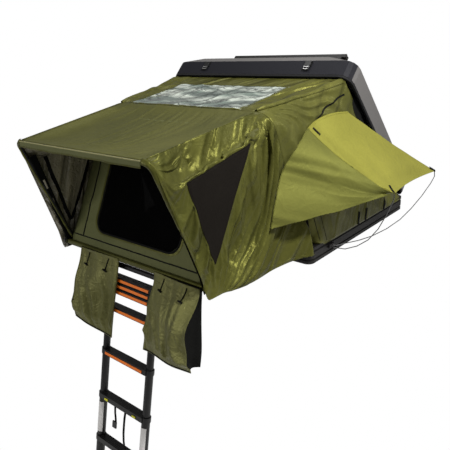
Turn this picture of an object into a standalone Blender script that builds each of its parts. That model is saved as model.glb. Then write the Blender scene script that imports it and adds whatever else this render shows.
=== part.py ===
"""Hard shell roof top tent, open for camping.

A wedge of two shells: a flat base on two rack rails, and a lid hinged along its rear edge.
A floor panel folds out over the front of the base, with a telescoping ladder under its
front edge, and two bows carry the fly sheet.  Metres, +Z up.  +X is the right-hand side seen
from the front, and the tent opens towards -Y.  The origin is the middle of the front rack
rail's underside.
"""

import math

import bmesh
import bpy
from mathutils import Matrix, Vector

# clearance between two pieces that touch
GAP = 0.0003
# running clearance beside a joint
RUNNING = 0.0006

# rack rails and base
RAIL_HEIGHT = 0.045
RAIL_WIDTH = 0.060
RAIL_SETBACK = 0.320
RAIL_SPACING = 0.790
BASE_WIDTH = 1.480
BASE_SIDE = BASE_WIDTH / 2
RAIL_LENGTH = BASE_WIDTH - 0.240
BASE_DEPTH = 1.430
BASE_HEIGHT = 0.105
FRAME_WALL = 0.030
FRAME_CORNER = 0.045
SLOT_HEIGHT = 0.012
SLOT_DEPTH = 0.006
FLOOR_BOARD = 0.014
MATTRESS = 0.033
MATTRESS_MARGIN = 0.050

# lid
LID_WIDTH = BASE_WIDTH + 0.020
LID_LENGTH = 1.434
LID_SKIRT = 0.110
LID_HIP_RISE = 0.055
LID_HIP_RUN = 0.160
LID_HIP_FRONT = 0.030
LID_CORNER = 0.080
LID_SKIN = 0.005
LID_OPEN = math.radians(43.5)
SEAL_WIDTH = 0.012
SEAL_HEIGHT = 0.014
LINER = 0.006
LID_AXIS_BEHIND = 0.009
HINGE_BARREL = 0.0070
HINGE_PIN = 0.0030
HINGE_LEAF = 0.0025
HINGE_KNUCKLES = 7
HINGE_ROOM = 0.0095
HINGE_REACH = 0.036
BAR_LENGTH = 0.900
BAR_OFFSET = 0.170
BAR_HEIGHT = 0.024
BAR_WIDTH = 0.036
BAR_FOOT = 0.030
LATCH_X = 0.430
LATCH_WIDTH = 0.044
LATCH_LENGTH = 0.070
LATCH_LEVER = 0.008
LATCH_STANDOFF = 0.002
LATCH_EAR = 0.004
LATCH_TOP = 0.098

# gas struts, as distances from the lid hinge
STRUT_X = BASE_SIDE - 0.050
STRUT_BASE = 0.450
STRUT_LID = 0.900
STRUT_DROP = 0.020
STRUT_RISE = 0.050
STRUT_TUBE = 0.380
STRUT_ROD = 0.400
STRUT_TUBE_R = 0.0110
STRUT_BORE_R = 0.0062
STRUT_ROD_R = 0.0050
STRUT_EYE_R = 0.0140
STRUT_EYE_WIDTH = 0.024

# fold-out floor
FOLD_WIDTH = BASE_WIDTH - 0.240
FOLD_LENGTH = 0.800
FOLD_PANEL = 0.025
FOLD_AXIS_Y = 0.016
FOLD_AXIS_Z = 0.008
FOLD_EDGE = 0.005
TRIM_WALL = 0.006
TRIM_LIP = 0.003
TRIM_LIP_WIDTH = 0.030
BOW_R = 0.010
FRONT_BOW_X = FOLD_WIDTH / 2 - 0.042
FRONT_BOW_TOP_X = FRONT_BOW_X - 0.025
FRONT_BED_SIDE = 0.035
FRONT_BED_MARGIN = 0.057
FRONT_BED_FOOT = 0.055
FRONT_BED_HEIGHT = 0.046
FRONT_BOW_FOOT = (0.030 - FOLD_LENGTH, 0.046)
FRONT_BOW_TOP = (FRONT_BOW_FOOT[0] - 0.290, 0.705)
FRONT_BOW_CORNER = 0.050
MID_BOW_X = BASE_SIDE - 0.092
MID_BOW_FOOT = (0.060, -0.030)
MID_BOW_TOP = (-0.290, 0.832)
MID_BOW_CORNER = 0.100

# ladder, measured down its length from the top bar
LADDER_TILT = math.radians(11.5)
LADDER_PIVOT = (0.035 - FOLD_LENGTH, -0.047)
LADDER_HALF = 0.200
LADDER_SPIGOT = 0.052
LADDER_LUG = 0.036
LUG_THICK = 0.010
BRACKET_PLATE = 0.004
LUG_BELOW = 0.014
BRACKET_DEPTH = 0.060
SPIGOT_R = 0.008
TOP_BAR_R = 0.016
RUNGS = 8
RUNG_OPEN = 0.300
RUNG_SHUT = 0.037
RUNG_FIRST = 0.080
RUNG_STACKED = 3
RUNG_PART_OPEN = 0.116
RUNG_TUBE = 0.350
TUBE_TOP_R = 0.014
TUBE_WALL = 0.0015
TUBE_PLAY = 0.0005
COLLAR_OVER = 0.0045
COLLAR_HEIGHT = 0.033
TREAD_DEPTH = 0.062
TREAD_HEIGHT = 0.031
TREAD_RIBS = 5
BUTTON_RUNG = 6
BUTTON_X = 0.130
BUTTON_LENGTH = 0.030
BUTTON_HEIGHT = 0.011
BUTTON_DEPTH = 0.004

# fabric
CLOTH = 0.0020
SEAM = 0.0006
VENT_PROUD = 0.0042
EAVE_SAG = 0.012
FOLD_SIZE = 0.009
WALL_X = BASE_SIDE - 0.0272
FLY_OVER = 0.0118
CORNER_STEPS = 5
SKYLIGHT_HALF = BASE_SIDE - 0.290
WINDOW_LOW = 0.03
WINDOW_HIGH = 0.74
WALL_FOOT_Y = FRONT_BOW_FOOT[0] - 0.018
WALL_LEAN = math.radians(65.8)
WALL_HEIGHT = 0.830
WALL_HALF_LOW = FRONT_BOW_X - 0.013
WALL_HALF_HIGH = WALL_HALF_LOW - 0.035
DOOR_HALF = WALL_HALF_LOW - 0.215
DOOR_LOW = 0.105
DOOR_HIGH = 0.740
DOOR_CORNER = 0.080
BAG_WIDTH = 0.370
BAG_DEPTH = 0.120
BAG_HEIGHT = 0.500
BAG_CORNER = 0.020
BAG_TOP = 0.020
BAG_X = FOLD_WIDTH / 2 - 0.290
BAG_SHIFT = 0.080
BAG_BACK = -FOLD_EDGE - FOLD_LENGTH - 2 * GAP
ROD_R = 0.0030
ROD_SOCKET_Y = 0.240
ROD_SOCKET_Z = -0.045

FRONT_Y = -RAIL_SETBACK
RIM_Z = RAIL_HEIGHT + GAP + BASE_HEIGHT
HINGE_Y = BASE_DEPTH + LID_AXIS_BEHIND


def at(x, y, z):
    """A point measured from the middle of the base's front top edge."""
    return Vector((x, FRONT_Y + y, RIM_Z + z))


for old in list(bpy.data.objects):
    bpy.data.objects.remove(old, do_unlink=True)

tent = bpy.data.collections.new("hard_shell_roof_top_tent")
cutters = bpy.data.collections.new("cutters")
bpy.context.scene.collection.children.link(tent)
bpy.context.scene.collection.children.link(cutters)
cutters.hide_render = True


def finish_of(name, colour, roughness, metallic=0.0, alpha=1.0):
    material = bpy.data.materials.new(name)
    material.use_nodes = True
    shader = material.node_tree.nodes["Principled BSDF"]
    shader.inputs["Base Color"].default_value = (*colour, 1.0)
    shader.inputs["Roughness"].default_value = roughness
    shader.inputs["Metallic"].default_value = metallic
    shader.inputs["Alpha"].default_value = alpha
    return material


def part_from(mesh, name, finish, place=None):
    """A sub-part in the tent's collection, with its material."""
    part = bpy.data.objects.new(name, mesh)
    tent.objects.link(part)
    mesh.materials.append(finish)
    if place is not None:
        part.location = place
    return part


def mesh_of(builder, name):
    """The mesh that a bmesh builder function fills."""
    mesh = bpy.data.meshes.new(name)
    shape = bmesh.new()
    builder(shape)
    bmesh.ops.recalc_face_normals(shape, faces=shape.faces)
    shape.to_mesh(mesh)
    shape.free()
    return mesh


def box_mesh(name, size, centre=(0, 0, 0)):
    def fill(shape):
        matrix = Matrix.Translation(centre) @ Matrix.Diagonal((*size, 1.0))
        bmesh.ops.create_cube(shape, size=1.0, matrix=matrix)

    return mesh_of(fill, name)


def rod_mesh(name, radius, length, axis="Z", centre=(0, 0, 0), sides=20):
    """A cylinder along X, Y or Z, centred on a point."""
    turn = {
        "X": Matrix.Rotation(math.pi / 2, 4, "Y"),
        "Y": Matrix.Rotation(math.pi / 2, 4, "X"),
        "Z": Matrix.Identity(4),
    }[axis]

    def fill(shape):
        bmesh.ops.create_cone(
            shape,
            cap_ends=True,
            segments=sides,
            radius1=radius,
            radius2=radius,
            depth=length,
            matrix=Matrix.Translation(centre) @ turn,
        )

    return mesh_of(fill, name)


def combine(part, mesh, operation):
    """Cuts a shape from a part or joins one to it, in the part's own space."""
    helper = bpy.data.objects.new(mesh.name, mesh)
    cutters.objects.link(helper)
    helper.parent = part
    helper.hide_render = True
    helper.display_type = "WIRE"
    change = part.modifiers.new(operation.lower(), "BOOLEAN")
    change.operation = operation
    change.solver = "EXACT"
    change.object = helper


def bevel(part, width, segments=2, angle=40.0):
    edge = part.modifiers.new("edges", "BEVEL")
    edge.width = width
    edge.segments = segments
    edge.limit_method = "ANGLE"
    edge.angle_limit = math.radians(angle)


def smooth(part, angle=35.0):
    part.data.shade_smooth()
    part.data.set_sharp_from_angle(angle=math.radians(angle))


def rounded_corners(width, depth, radius, steps=5):
    """The corners of a rounded rectangle, one arc for each, centred on the origin."""
    points = []
    for number, (sx, sy) in enumerate(((1, 1), (-1, 1), (-1, -1), (1, -1))):
        centre_x = sx * (width / 2 - radius)
        centre_y = sy * (depth / 2 - radius)
        for step in range(steps + 1):
            angle = math.pi / 2 * (number + step / steps)
            points.append((centre_x + radius * math.cos(angle), centre_y + radius * math.sin(angle)))
    return points


def flat_solid(name, loops, thickness):
    """The mesh of flat outlines, the later ones holes, as thick as stated and centred on z = 0."""
    curve = bpy.data.curves.new(name, "CURVE")
    curve.dimensions = "2D"
    curve.fill_mode = "BOTH"
    curve.extrude = thickness / 2
    for loop in loops:
        line = curve.splines.new("POLY")
        line.points.add(len(loop) - 1)
        for point, (x, y) in zip(line.points, loop):
            point.co = (x, y, 0.0, 1.0)
        line.use_cyclic_u = True
    return mesh_from_curve(curve, name)


def tube_curve(name, points, radius, resolution=2):
    curve = bpy.data.curves.new(name, "CURVE")
    curve.dimensions = "3D"
    curve.bevel_depth = radius
    curve.bevel_resolution = resolution
    curve.use_fill_caps = True
    line = curve.splines.new("POLY")
    line.points.add(len(points) - 1)
    for point, place in zip(line.points, points):
        point.co = (*place, 1.0)
    return curve


def mesh_from_curve(curve, name):
    """A curve's evaluated mesh, with its caps welded on."""
    holder = bpy.data.objects.new(name, curve)
    bpy.context.scene.collection.objects.link(holder)
    graph = bpy.context.evaluated_depsgraph_get()
    mesh = bpy.data.meshes.new_from_object(holder.evaluated_get(graph))
    mesh.transform(holder.matrix_world)
    bpy.data.objects.remove(holder, do_unlink=True)
    shape = bmesh.new()
    shape.from_mesh(mesh)
    bmesh.ops.remove_doubles(shape, verts=shape.verts, dist=1e-6)
    bmesh.ops.recalc_face_normals(shape, faces=shape.faces)
    shape.to_mesh(mesh)
    shape.free()
    mesh.name = name
    return mesh


def moved(mesh, matrix):
    mesh.transform(matrix)
    return mesh


def sheet(name, rows, finish, inside, thickness=CLOTH, hole=None):
    """A cloth panel through rows of points, thickened on the side away from a point.

    hole names the faces to leave out, by row and column.
    """
    mesh = bpy.data.meshes.new(name)
    shape = bmesh.new()
    grid = [[shape.verts.new(point) for point in row] for row in rows]
    for line, (upper, lower) in enumerate(zip(grid, grid[1:])):
        for column in range(len(upper) - 1):
            if hole and hole(line, column):
                continue
            after = column + 1
            shape.faces.new((upper[column], upper[after], lower[after], lower[column]))
    shape.to_mesh(mesh)
    shape.free()
    part = part_from(mesh, name, finish)
    middle = part.data.polygons[len(part.data.polygons) // 2]
    if middle.normal.dot(Vector(inside) - middle.center) > 0:
        part.data.flip_normals()
    skin = part.modifiers.new("thickness", "SOLIDIFY")
    skin.thickness = thickness
    skin.offset = 1.0
    smooth(part, 60.0)
    return part


def blend_points(a, b, share):
    return Vector(a).lerp(Vector(b), share)


def along(points, share):
    """The point at a share of the way along a chain of points, by length."""
    points = [Vector(point) for point in points]
    lengths = [(q - p).length for p, q in zip(points, points[1:])]
    goal = share * sum(lengths)
    for start, end, length in zip(points, points[1:], lengths):
        if goal <= length or end is points[-1]:
            return start.lerp(end, min(goal / length, 1.0))
        goal -= length
    return points[-1]


def both_sides(build):
    """Runs a builder for the right side and for the left, its mirror image."""
    for side, sign in (("right", 1), ("left", -1)):
        build(side, sign)


ALUMINIUM_BLACK = finish_of("black_extrusion", (0.020, 0.018, 0.016), 0.42, 0.6)
LID_GREY = finish_of("lid_grey", (0.14, 0.13, 0.125), 0.60, 0.1)
RUBBER = finish_of("black_rubber", (0.012, 0.012, 0.013), 0.75)
STEEL = finish_of("zinc_steel", (0.45, 0.45, 0.46), 0.35, 1.0)
BOARD = finish_of("floor_board", (0.30, 0.29, 0.27), 0.55)
FOAM = finish_of("mattress_cover", (0.16, 0.16, 0.15), 0.90)
LINING = finish_of("headliner", (0.03, 0.03, 0.03), 0.85)
OLIVE = finish_of("olive_canvas", (0.115, 0.115, 0.026), 0.75)
LIME = finish_of("lime_awning", (0.40, 0.38, 0.075), 0.70)
MESH = finish_of("black_mesh", (0.004, 0.004, 0.004), 0.80)
CLEAR = finish_of("clear_window", (0.60, 0.62, 0.58), 0.12, 0.0, 0.5)
BOW_GREY = finish_of("bow_tube", (0.05, 0.05, 0.05), 0.40, 0.8)
LADDER_BLACK = finish_of("ladder_black", (0.013, 0.012, 0.012), 0.38, 0.5)
BUTTON_YELLOW = finish_of("button_yellow", (0.72, 0.70, 0.02), 0.45)
SPRING = finish_of("spring_rod", (0.25, 0.25, 0.25), 0.35, 0.9)


def rack_rail(name, y):
    """A rack rail: a box section with a clamp groove along each side."""
    part = part_from(box_mesh(name, (RAIL_LENGTH, RAIL_WIDTH, RAIL_HEIGHT)), name, ALUMINIUM_BLACK)
    part.location = (0, y, RAIL_HEIGHT / 2)
    groove = (RAIL_LENGTH + 0.02, 2 * SLOT_DEPTH, SLOT_HEIGHT)
    for side in (1, -1):
        combine(part, box_mesh(name + "_groove", groove, (0, side * RAIL_WIDTH / 2, 0)), "DIFFERENCE")


def stud(radius, inner_x, place, sign):
    """A stud standing on the frame's inner wall and reaching in to inner_x."""
    outer_x = BASE_SIDE - FRAME_WALL / 2
    length = outer_x - inner_x
    centre = (sign * (inner_x + length / 2), place[0] - BASE_DEPTH / 2, place[1] + BASE_HEIGHT / 2)
    return rod_mesh("stud", radius, length, "X", centre, sides=12)


def base():
    """The frame, its floor board and the rear mattress."""
    outer = rounded_corners(BASE_WIDTH, BASE_DEPTH, FRAME_CORNER)
    inner_corner = FRAME_CORNER - FRAME_WALL + 0.008
    inner = rounded_corners(BASE_WIDTH - 2 * FRAME_WALL, BASE_DEPTH - 2 * FRAME_WALL, inner_corner, 3)
    frame = part_from(flat_solid("base_frame", [outer, inner], BASE_HEIGHT), "base_frame", ALUMINIUM_BLACK)
    frame.location = at(0, BASE_DEPTH / 2, -BASE_HEIGHT / 2)
    far = rounded_corners(BASE_WIDTH + 0.1, BASE_DEPTH + 0.1, FRAME_CORNER)
    groove_inner = rounded_corners(
        BASE_WIDTH - 2 * SLOT_DEPTH, BASE_DEPTH - 2 * SLOT_DEPTH, FRAME_CORNER - SLOT_DEPTH
    )
    for level in (-0.25, 0.25):
        groove = flat_solid("frame_slot", [far, groove_inner], SLOT_HEIGHT)
        lifted = Matrix.Translation((0, 0, level * BASE_HEIGHT))
        combine(frame, moved(groove, lifted), "DIFFERENCE")
    for sign in (1, -1):
        bow_reach = MID_BOW_X + BOW_R + RUNNING
        strut_reach = STRUT_X + STRUT_EYE_WIDTH / 2 + RUNNING
        strut_place = (HINGE_Y - STRUT_BASE, -STRUT_DROP)
        combine(frame, stud(0.010, bow_reach, MID_BOW_FOOT, sign), "UNION")
        combine(frame, stud(0.009, strut_reach, strut_place, sign), "UNION")
        socket = (sign * (BASE_SIDE + 0.004), ROD_SOCKET_Y - BASE_DEPTH / 2, ROD_SOCKET_Z + BASE_HEIGHT / 2)
        combine(frame, box_mesh("rod_socket", (0.020, 0.060, 0.022), socket), "UNION")

    inside_width = BASE_WIDTH - 2 * FRAME_WALL - 2 * GAP
    inside_depth = BASE_DEPTH - 2 * FRAME_WALL - 2 * GAP
    board_outline = rounded_corners(inside_width, inside_depth, inner_corner, 3)
    board = part_from(flat_solid("base_floor", [board_outline], FLOOR_BOARD), "base_floor", BOARD)
    board.location = at(0, BASE_DEPTH / 2, -BASE_HEIGHT + FLOOR_BOARD / 2)

    bed_size = (inside_width - 2 * MATTRESS_MARGIN, inside_depth - MATTRESS_MARGIN, MATTRESS)
    bed = part_from(box_mesh("rear_mattress", bed_size), "rear_mattress", FOAM)
    bed.location = at(0, BASE_DEPTH / 2 + 0.012, -BASE_HEIGHT + FLOOR_BOARD + GAP + MATTRESS / 2)
    bevel(bed, 0.018, 2)


def knuckle_leaf(name, length, plates, keep_odd, pin):
    """A piano hinge leaf along X: its barrel on the axis and its plates, as y and z ranges.

    One leaf has the odd knuckles and the pin, which is fixed in them; the other has the rest.
    """
    ring = [(HINGE_BARREL * math.cos(a), HINGE_BARREL * math.sin(a)) for a in ring_angles(16)]
    barrel = flat_solid(name, [ring], length)
    barrel.transform(Matrix.Rotation(math.pi / 2, 4, "Y"))
    leaf = part_from(barrel, name, STEEL)
    for y_low, y_high, z_low, z_high in plates:
        size = (length, y_high - y_low, z_high - z_low)
        centre = (0, (y_low + y_high) / 2, (z_low + z_high) / 2)
        combine(leaf, box_mesh(name + "_plate", size, centre), "UNION")
    pitch = length / HINGE_KNUCKLES
    for number in range(HINGE_KNUCKLES):
        if (number % 2 == 1) == keep_odd:
            continue
        middle = -length / 2 + pitch * (number + 0.5)
        room = rod_mesh(name + "_room", HINGE_ROOM, pitch + 2 * RUNNING, "X", (middle, 0, 0), 16)
        combine(leaf, room, "DIFFERENCE")
    if pin:
        combine(leaf, rod_mesh(name + "_pin", HINGE_PIN, length, "X", sides=12), "UNION")
    else:
        bore = rod_mesh(name + "_bore", HINGE_PIN + RUNNING, length + 0.02, "X", sides=12)
        combine(leaf, bore, "DIFFERENCE")
    return leaf


def ring_angles(count):
    return [2 * math.pi * step / count for step in range(count)]


def hinges():
    """The rear lid hinge and the fold-out floor hinge, each two leaves and a pin."""
    length = BASE_WIDTH - 0.10
    against = GAP - LID_AXIS_BEHIND
    low_plate = (against, against + HINGE_LEAF, -HINGE_REACH, -RUNNING)
    high_plate = (against, against + HINGE_LEAF, RUNNING, HINGE_REACH)
    low = knuckle_leaf("rear_hinge_base", length, [low_plate], True, True)
    low.location = at(0, HINGE_Y, 0)
    high = knuckle_leaf("rear_hinge_lid", length, [high_plate], False, False)
    high.parent = lid_axis

    length = FOLD_WIDTH - 0.08
    on_frame = GAP - FOLD_AXIS_Z
    rear = (RUNNING, FRAME_WALL - FOLD_AXIS_Y - RUNNING, on_frame, on_frame + HINGE_LEAF)
    inner = knuckle_leaf("floor_hinge_base", length, [rear], True, True)
    inner.location = at(0, FOLD_AXIS_Y, FOLD_AXIS_Z)

    panel_face = -FOLD_EDGE - FOLD_AXIS_Y + GAP
    web = (panel_face, -RUNNING, -HINGE_BARREL, HINGE_LEAF - HINGE_BARREL)
    lip_high = FOLD_PANEL - TRIM_LIP - FOLD_AXIS_Z - 0.001
    flange = (panel_face, panel_face + HINGE_LEAF, -HINGE_BARREL, lip_high)
    outer = knuckle_leaf("floor_hinge_leaf", length, [web, flange], False, False)
    outer.location = at(0, FOLD_AXIS_Y, FOLD_AXIS_Z)


lid_axis = bpy.data.objects.new("lid_axis", None)
tent.objects.link(lid_axis)
lid_axis.location = at(0, HINGE_Y, 0)
lid_axis.rotation_euler.x = -LID_OPEN


def lid():
    """The lid shell with its hipped top, and the seal, headliner and accessory bar on it."""
    levels = (
        (0.0, 0.0),
        (0.0, LID_SKIRT),
        (LID_HIP_FRONT, LID_SKIRT + LID_HIP_RISE),
    )

    def fill(shape):
        rings = []
        for inset, level in levels:
            ring = []
            for x, y in rounded_corners(LID_WIDTH, LID_LENGTH, LID_CORNER, 4):
                pull_x = 1.0 - (LID_HIP_RUN / (LID_WIDTH / 2) if inset else 0.0)
                pull_y = 1.0 - (inset / (LID_LENGTH / 2))
                ring.append(shape.verts.new((x * pull_x, y * pull_y, level)))
            rings.append(ring)
        for low, high in zip(rings, rings[1:]):
            for number in range(len(low)):
                after = (number + 1) % len(low)
                shape.faces.new((low[number], low[after], high[after], high[number]))
        shape.faces.new(rings[-1])

    mesh = bpy.data.meshes.new("lid_shell")
    shape = bmesh.new()
    fill(shape)
    shape.to_mesh(mesh)
    shape.free()
    shell = part_from(mesh, "lid_shell", LID_GREY)
    shell.parent = lid_axis
    lid_centre = -LID_AXIS_BEHIND - LID_LENGTH / 2
    shell.location = (0, lid_centre, 0)
    skin = shell.modifiers.new("skin", "SOLIDIFY")
    skin.thickness = LID_SKIN
    skin.offset = -1.0
    for sign in (1, -1):
        inner = STRUT_X + STRUT_EYE_WIDTH / 2 + RUNNING
        outer = LID_WIDTH / 2 - LID_SKIN / 2
        size = (outer - inner, 0.018, 0.018)
        place = (sign * (inner + outer) / 2, -STRUT_LID - lid_centre, STRUT_RISE)
        combine(shell, box_mesh("strut_bracket", size, place), "UNION")

    seal_outer = rounded_corners(LID_WIDTH - 0.004, LID_LENGTH - 0.004, LID_CORNER - 0.002, 4)
    seal_inner = rounded_corners(
        LID_WIDTH - 0.004 - 2 * SEAL_WIDTH, LID_LENGTH - 0.004 - 2 * SEAL_WIDTH, LID_CORNER - SEAL_WIDTH, 4
    )
    seal = part_from(flat_solid("lid_seal", [seal_outer, seal_inner], SEAL_HEIGHT), "lid_seal", RUBBER)
    seal.parent = lid_axis
    seal.location = (0, lid_centre, -GAP - SEAL_HEIGHT / 2)
    gap_room = box_mesh("seal_room", (BASE_WIDTH - 0.06, 0.06, 0.06), (0, LID_LENGTH / 2, 0))
    combine(seal, gap_room, "DIFFERENCE")

    top = LID_SKIRT + LID_HIP_RISE
    liner_width = LID_WIDTH - 2 * LID_HIP_RUN - 0.02
    liner_outline = rounded_corners(liner_width, LID_LENGTH - 2 * LID_HIP_FRONT - 0.03, LID_CORNER, 3)
    liner = part_from(flat_solid("lid_liner", [liner_outline], LINER), "lid_liner", LINING)
    liner.parent = lid_axis
    liner.location = (0, lid_centre, top - LID_SKIN - 0.0008 - LINER / 2)

    bar_mesh = box_mesh("accessory_bar", (BAR_LENGTH, BAR_WIDTH, BAR_HEIGHT))
    bar = part_from(bar_mesh, "accessory_bar", ALUMINIUM_BLACK)
    bar.parent = lid_axis
    bar.location = (BAR_OFFSET, -(LID_LENGTH - 0.075), top + GAP + BAR_FOOT + BAR_HEIGHT / 2)
    for end in (1, -1):
        foot = box_mesh(
            "bar_foot",
            (0.070, BAR_WIDTH + 0.016, BAR_FOOT + 0.004),
            (end * (BAR_LENGTH / 2 - 0.060), 0, -BAR_HEIGHT / 2 - BAR_FOOT / 2 + 0.002),
        )
        combine(bar, foot, "UNION")
    slot = box_mesh("bar_slot", (BAR_LENGTH + 0.02, 0.010, 0.008), (0, 0, BAR_HEIGHT / 2))
    combine(bar, slot, "DIFFERENCE")


def latch(side, sign):
    """A draw latch: its lever hangs on the lid's front skirt from a hinge at its top."""
    name = f"latch_{side}"
    plate_size = (LATCH_WIDTH + 2 * (LATCH_EAR + GAP), 0.004, LATCH_LENGTH * 0.5)
    front = -(LID_AXIS_BEHIND + LID_LENGTH)
    plate = part_from(box_mesh(f"{name}_plate", plate_size), f"{name}_plate", STEEL)
    plate.parent = lid_axis
    plate.location = (sign * LATCH_X, front - GAP - plate_size[1] / 2, LATCH_TOP - plate_size[2] / 2)
    reach = LATCH_STANDOFF + LATCH_LEVER
    for ear in (1, -1):
        centre = (
            ear * (plate_size[0] / 2 - LATCH_EAR / 2),
            -plate_size[1] / 2 - reach / 2 + GAP,
            plate_size[2] / 2 - LATCH_LEVER / 2,
        )
        combine(plate, box_mesh(f"{name}_ear", (LATCH_EAR, reach, LATCH_LEVER), centre), "UNION")
    lever_size = (LATCH_WIDTH, LATCH_LEVER, LATCH_LENGTH)
    below = box_mesh(f"{name}_lever", lever_size, (0, 0, -LATCH_LENGTH / 2 + LATCH_LEVER / 2))
    lever = part_from(below, f"{name}_lever", STEEL)
    lever.parent = lid_axis
    lever.location = (
        sign * LATCH_X,
        front - GAP - plate_size[1] - LATCH_STANDOFF - LATCH_LEVER / 2,
        LATCH_TOP - LATCH_LEVER / 2,
    )
    bail = (LATCH_WIDTH * 0.5, 4 * LATCH_LEVER, LATCH_LENGTH * 0.35)
    window = box_mesh(f"{name}_bail", bail, (0, 0, -LATCH_LENGTH * 0.72))
    combine(lever, window, "DIFFERENCE")
    bevel(lever, 0.0015, 2)


def strut_ends():
    """Where a gas strut's eyes lie, in the plane of the side, at rest."""
    low = Vector((HINGE_Y - STRUT_BASE, -STRUT_DROP))
    high = Vector(
        (
            HINGE_Y - STRUT_LID * math.cos(LID_OPEN) + STRUT_RISE * math.sin(LID_OPEN),
            STRUT_LID * math.sin(LID_OPEN) + STRUT_RISE * math.cos(LID_OPEN),
        )
    )
    return low, high


def strut(side, sign):
    """A gas strut: a bored tube on the base and a rod that slides in it."""
    low, high = strut_ends()
    reach = (high - low).length
    lean = math.atan2(-(high - low).x, (high - low).y)
    axis = bpy.data.objects.new(f"strut_axis_{side}", None)
    tent.objects.link(axis)
    axis.location = at(sign * STRUT_X, low.x, low.y)
    axis.rotation_euler.x = lean

    tube_name = f"strut_tube_{side}"
    start = STRUT_EYE_R * 0.5
    body = rod_mesh(tube_name, STRUT_TUBE_R, STRUT_TUBE - start, "Z", (0, 0, (STRUT_TUBE + start) / 2))
    tube = part_from(body, tube_name, LADDER_BLACK)
    tube.parent = axis
    bore_low = 0.040
    bore_length = STRUT_TUBE - bore_low + 0.02
    combine(
        tube,
        rod_mesh("strut_bore", STRUT_BORE_R, bore_length, "Z", (0, 0, bore_low + bore_length / 2)),
        "DIFFERENCE",
    )
    combine(tube, rod_mesh("tube_eye", STRUT_EYE_R, STRUT_EYE_WIDTH, "X"), "UNION")
    smooth(tube)

    rod_name = f"strut_rod_{side}"
    shaft = rod_mesh(rod_name, STRUT_ROD_R, STRUT_ROD, "Z", (0, 0, reach - STRUT_ROD / 2), 12)
    rod = part_from(shaft, rod_name, STEEL)
    rod.parent = axis
    combine(rod, rod_mesh("rod_eye", STRUT_EYE_R - 0.002, STRUT_EYE_WIDTH, "X", (0, 0, reach)), "UNION")
    smooth(rod)


def bow_points(foot_x, top_x, foot, top, corner, steps=6):
    """The centre line of a U-shaped bow, from one foot over the top to the other."""
    foot = Vector(foot)
    top = Vector(top)
    leg = (top - foot).length
    rise = (top - foot).normalized()
    flat = []
    for step in range(steps + 1):
        angle = math.pi / 2 * step / steps
        flat.append((top_x - corner + corner * math.cos(angle), leg - corner + corner * math.sin(angle)))
    half = [(foot_x, 0.0)] + flat
    whole = half + [(-x, up) for x, up in reversed(half)]
    return [at(x, foot.x + rise.x * up, foot.y + rise.y * up) for x, up in whole]


def bows():
    front = bow_points(FRONT_BOW_X, FRONT_BOW_TOP_X, FRONT_BOW_FOOT, FRONT_BOW_TOP, FRONT_BOW_CORNER)
    middle = bow_points(MID_BOW_X, MID_BOW_X, MID_BOW_FOOT, MID_BOW_TOP, MID_BOW_CORNER)
    for name, points, foot in (
        ("front_bow", front, FRONT_BOW_FOOT),
        ("mid_bow", middle, MID_BOW_FOOT),
    ):
        pivot = at(0, *foot)
        centred = [point - pivot for point in points]
        mesh = mesh_from_curve(tube_curve(name, centred, BOW_R, 3), name)
        bow = part_from(mesh, name, BOW_GREY, pivot)
        smooth(bow)


def fold_floor():
    """The fold-out floor: a board in a channel edging, its mattress and its hinge leaf."""
    inner_y = -FOLD_EDGE
    board_size = (
        FOLD_WIDTH - 2 * TRIM_WALL - 2 * GAP,
        FOLD_LENGTH - TRIM_WALL - GAP,
        FOLD_PANEL - 2 * TRIM_LIP - 2 * GAP,
    )
    board = part_from(box_mesh("fold_floor", board_size), "fold_floor", BOARD)
    board.location = at(0, inner_y - board_size[1] / 2, FOLD_PANEL / 2)

    trim_size = (FOLD_WIDTH, FOLD_LENGTH, FOLD_PANEL)
    trim = part_from(box_mesh("floor_edge_trim", trim_size), "floor_edge_trim", ALUMINIUM_BLACK)
    trim.location = at(0, inner_y - FOLD_LENGTH / 2, FOLD_PANEL / 2)
    channel = box_mesh(
        "trim_channel",
        (FOLD_WIDTH - 2 * TRIM_WALL, FOLD_LENGTH, FOLD_PANEL - 2 * TRIM_LIP),
        (0, TRIM_WALL, 0),
    )
    window_size = (FOLD_WIDTH - 2 * TRIM_LIP_WIDTH, FOLD_LENGTH, FOLD_PANEL + 0.02)
    window = box_mesh("trim_window", window_size, (0, TRIM_LIP_WIDTH, 0))
    combine(trim, channel, "DIFFERENCE")
    combine(trim, window, "DIFFERENCE")
    for sign in (1, -1):
        inner = FRONT_BOW_X + BOW_R + RUNNING
        lug_height = FRONT_BOW_FOOT[1] + 0.012 - FOLD_PANEL + TRIM_LIP / 2
        lug = box_mesh(
            "bow_lug",
            (0.010, 0.030, lug_height),
            (
                sign * (inner + 0.005),
                FRONT_BOW_FOOT[0] - inner_y + FOLD_LENGTH / 2,
                FOLD_PANEL / 2 - TRIM_LIP / 2 + lug_height / 2,
            ),
        )
        combine(trim, lug, "UNION")

    bed_size = (
        2 * (FRONT_BOW_TOP_X - FRONT_BED_SIDE),
        FOLD_LENGTH - FRONT_BED_MARGIN - FRONT_BED_FOOT,
        FRONT_BED_HEIGHT,
    )
    bed = part_from(box_mesh("front_mattress", bed_size), "front_mattress", FOAM)
    bed_level = FOLD_PANEL - TRIM_LIP
    bed.location = at(0, inner_y - FRONT_BED_MARGIN - bed_size[1] / 2, bed_level + bed_size[2] / 2)
    bevel(bed, 0.016, 2)


def ladder_section_offsets():
    """How far each rung lies below the top bar at rest."""
    places = [0.0]
    for number in range(1, RUNGS + 1):
        if number == 1:
            step = RUNG_FIRST
        elif number <= RUNG_STACKED:
            step = RUNG_SHUT
        elif number == RUNG_STACKED + 1:
            step = RUNG_PART_OPEN
        else:
            step = RUNG_OPEN
        places.append(places[-1] + step)
    return places


def tube_radius(number):
    return TUBE_TOP_R + number * (TUBE_WALL + TUBE_PLAY)


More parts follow.
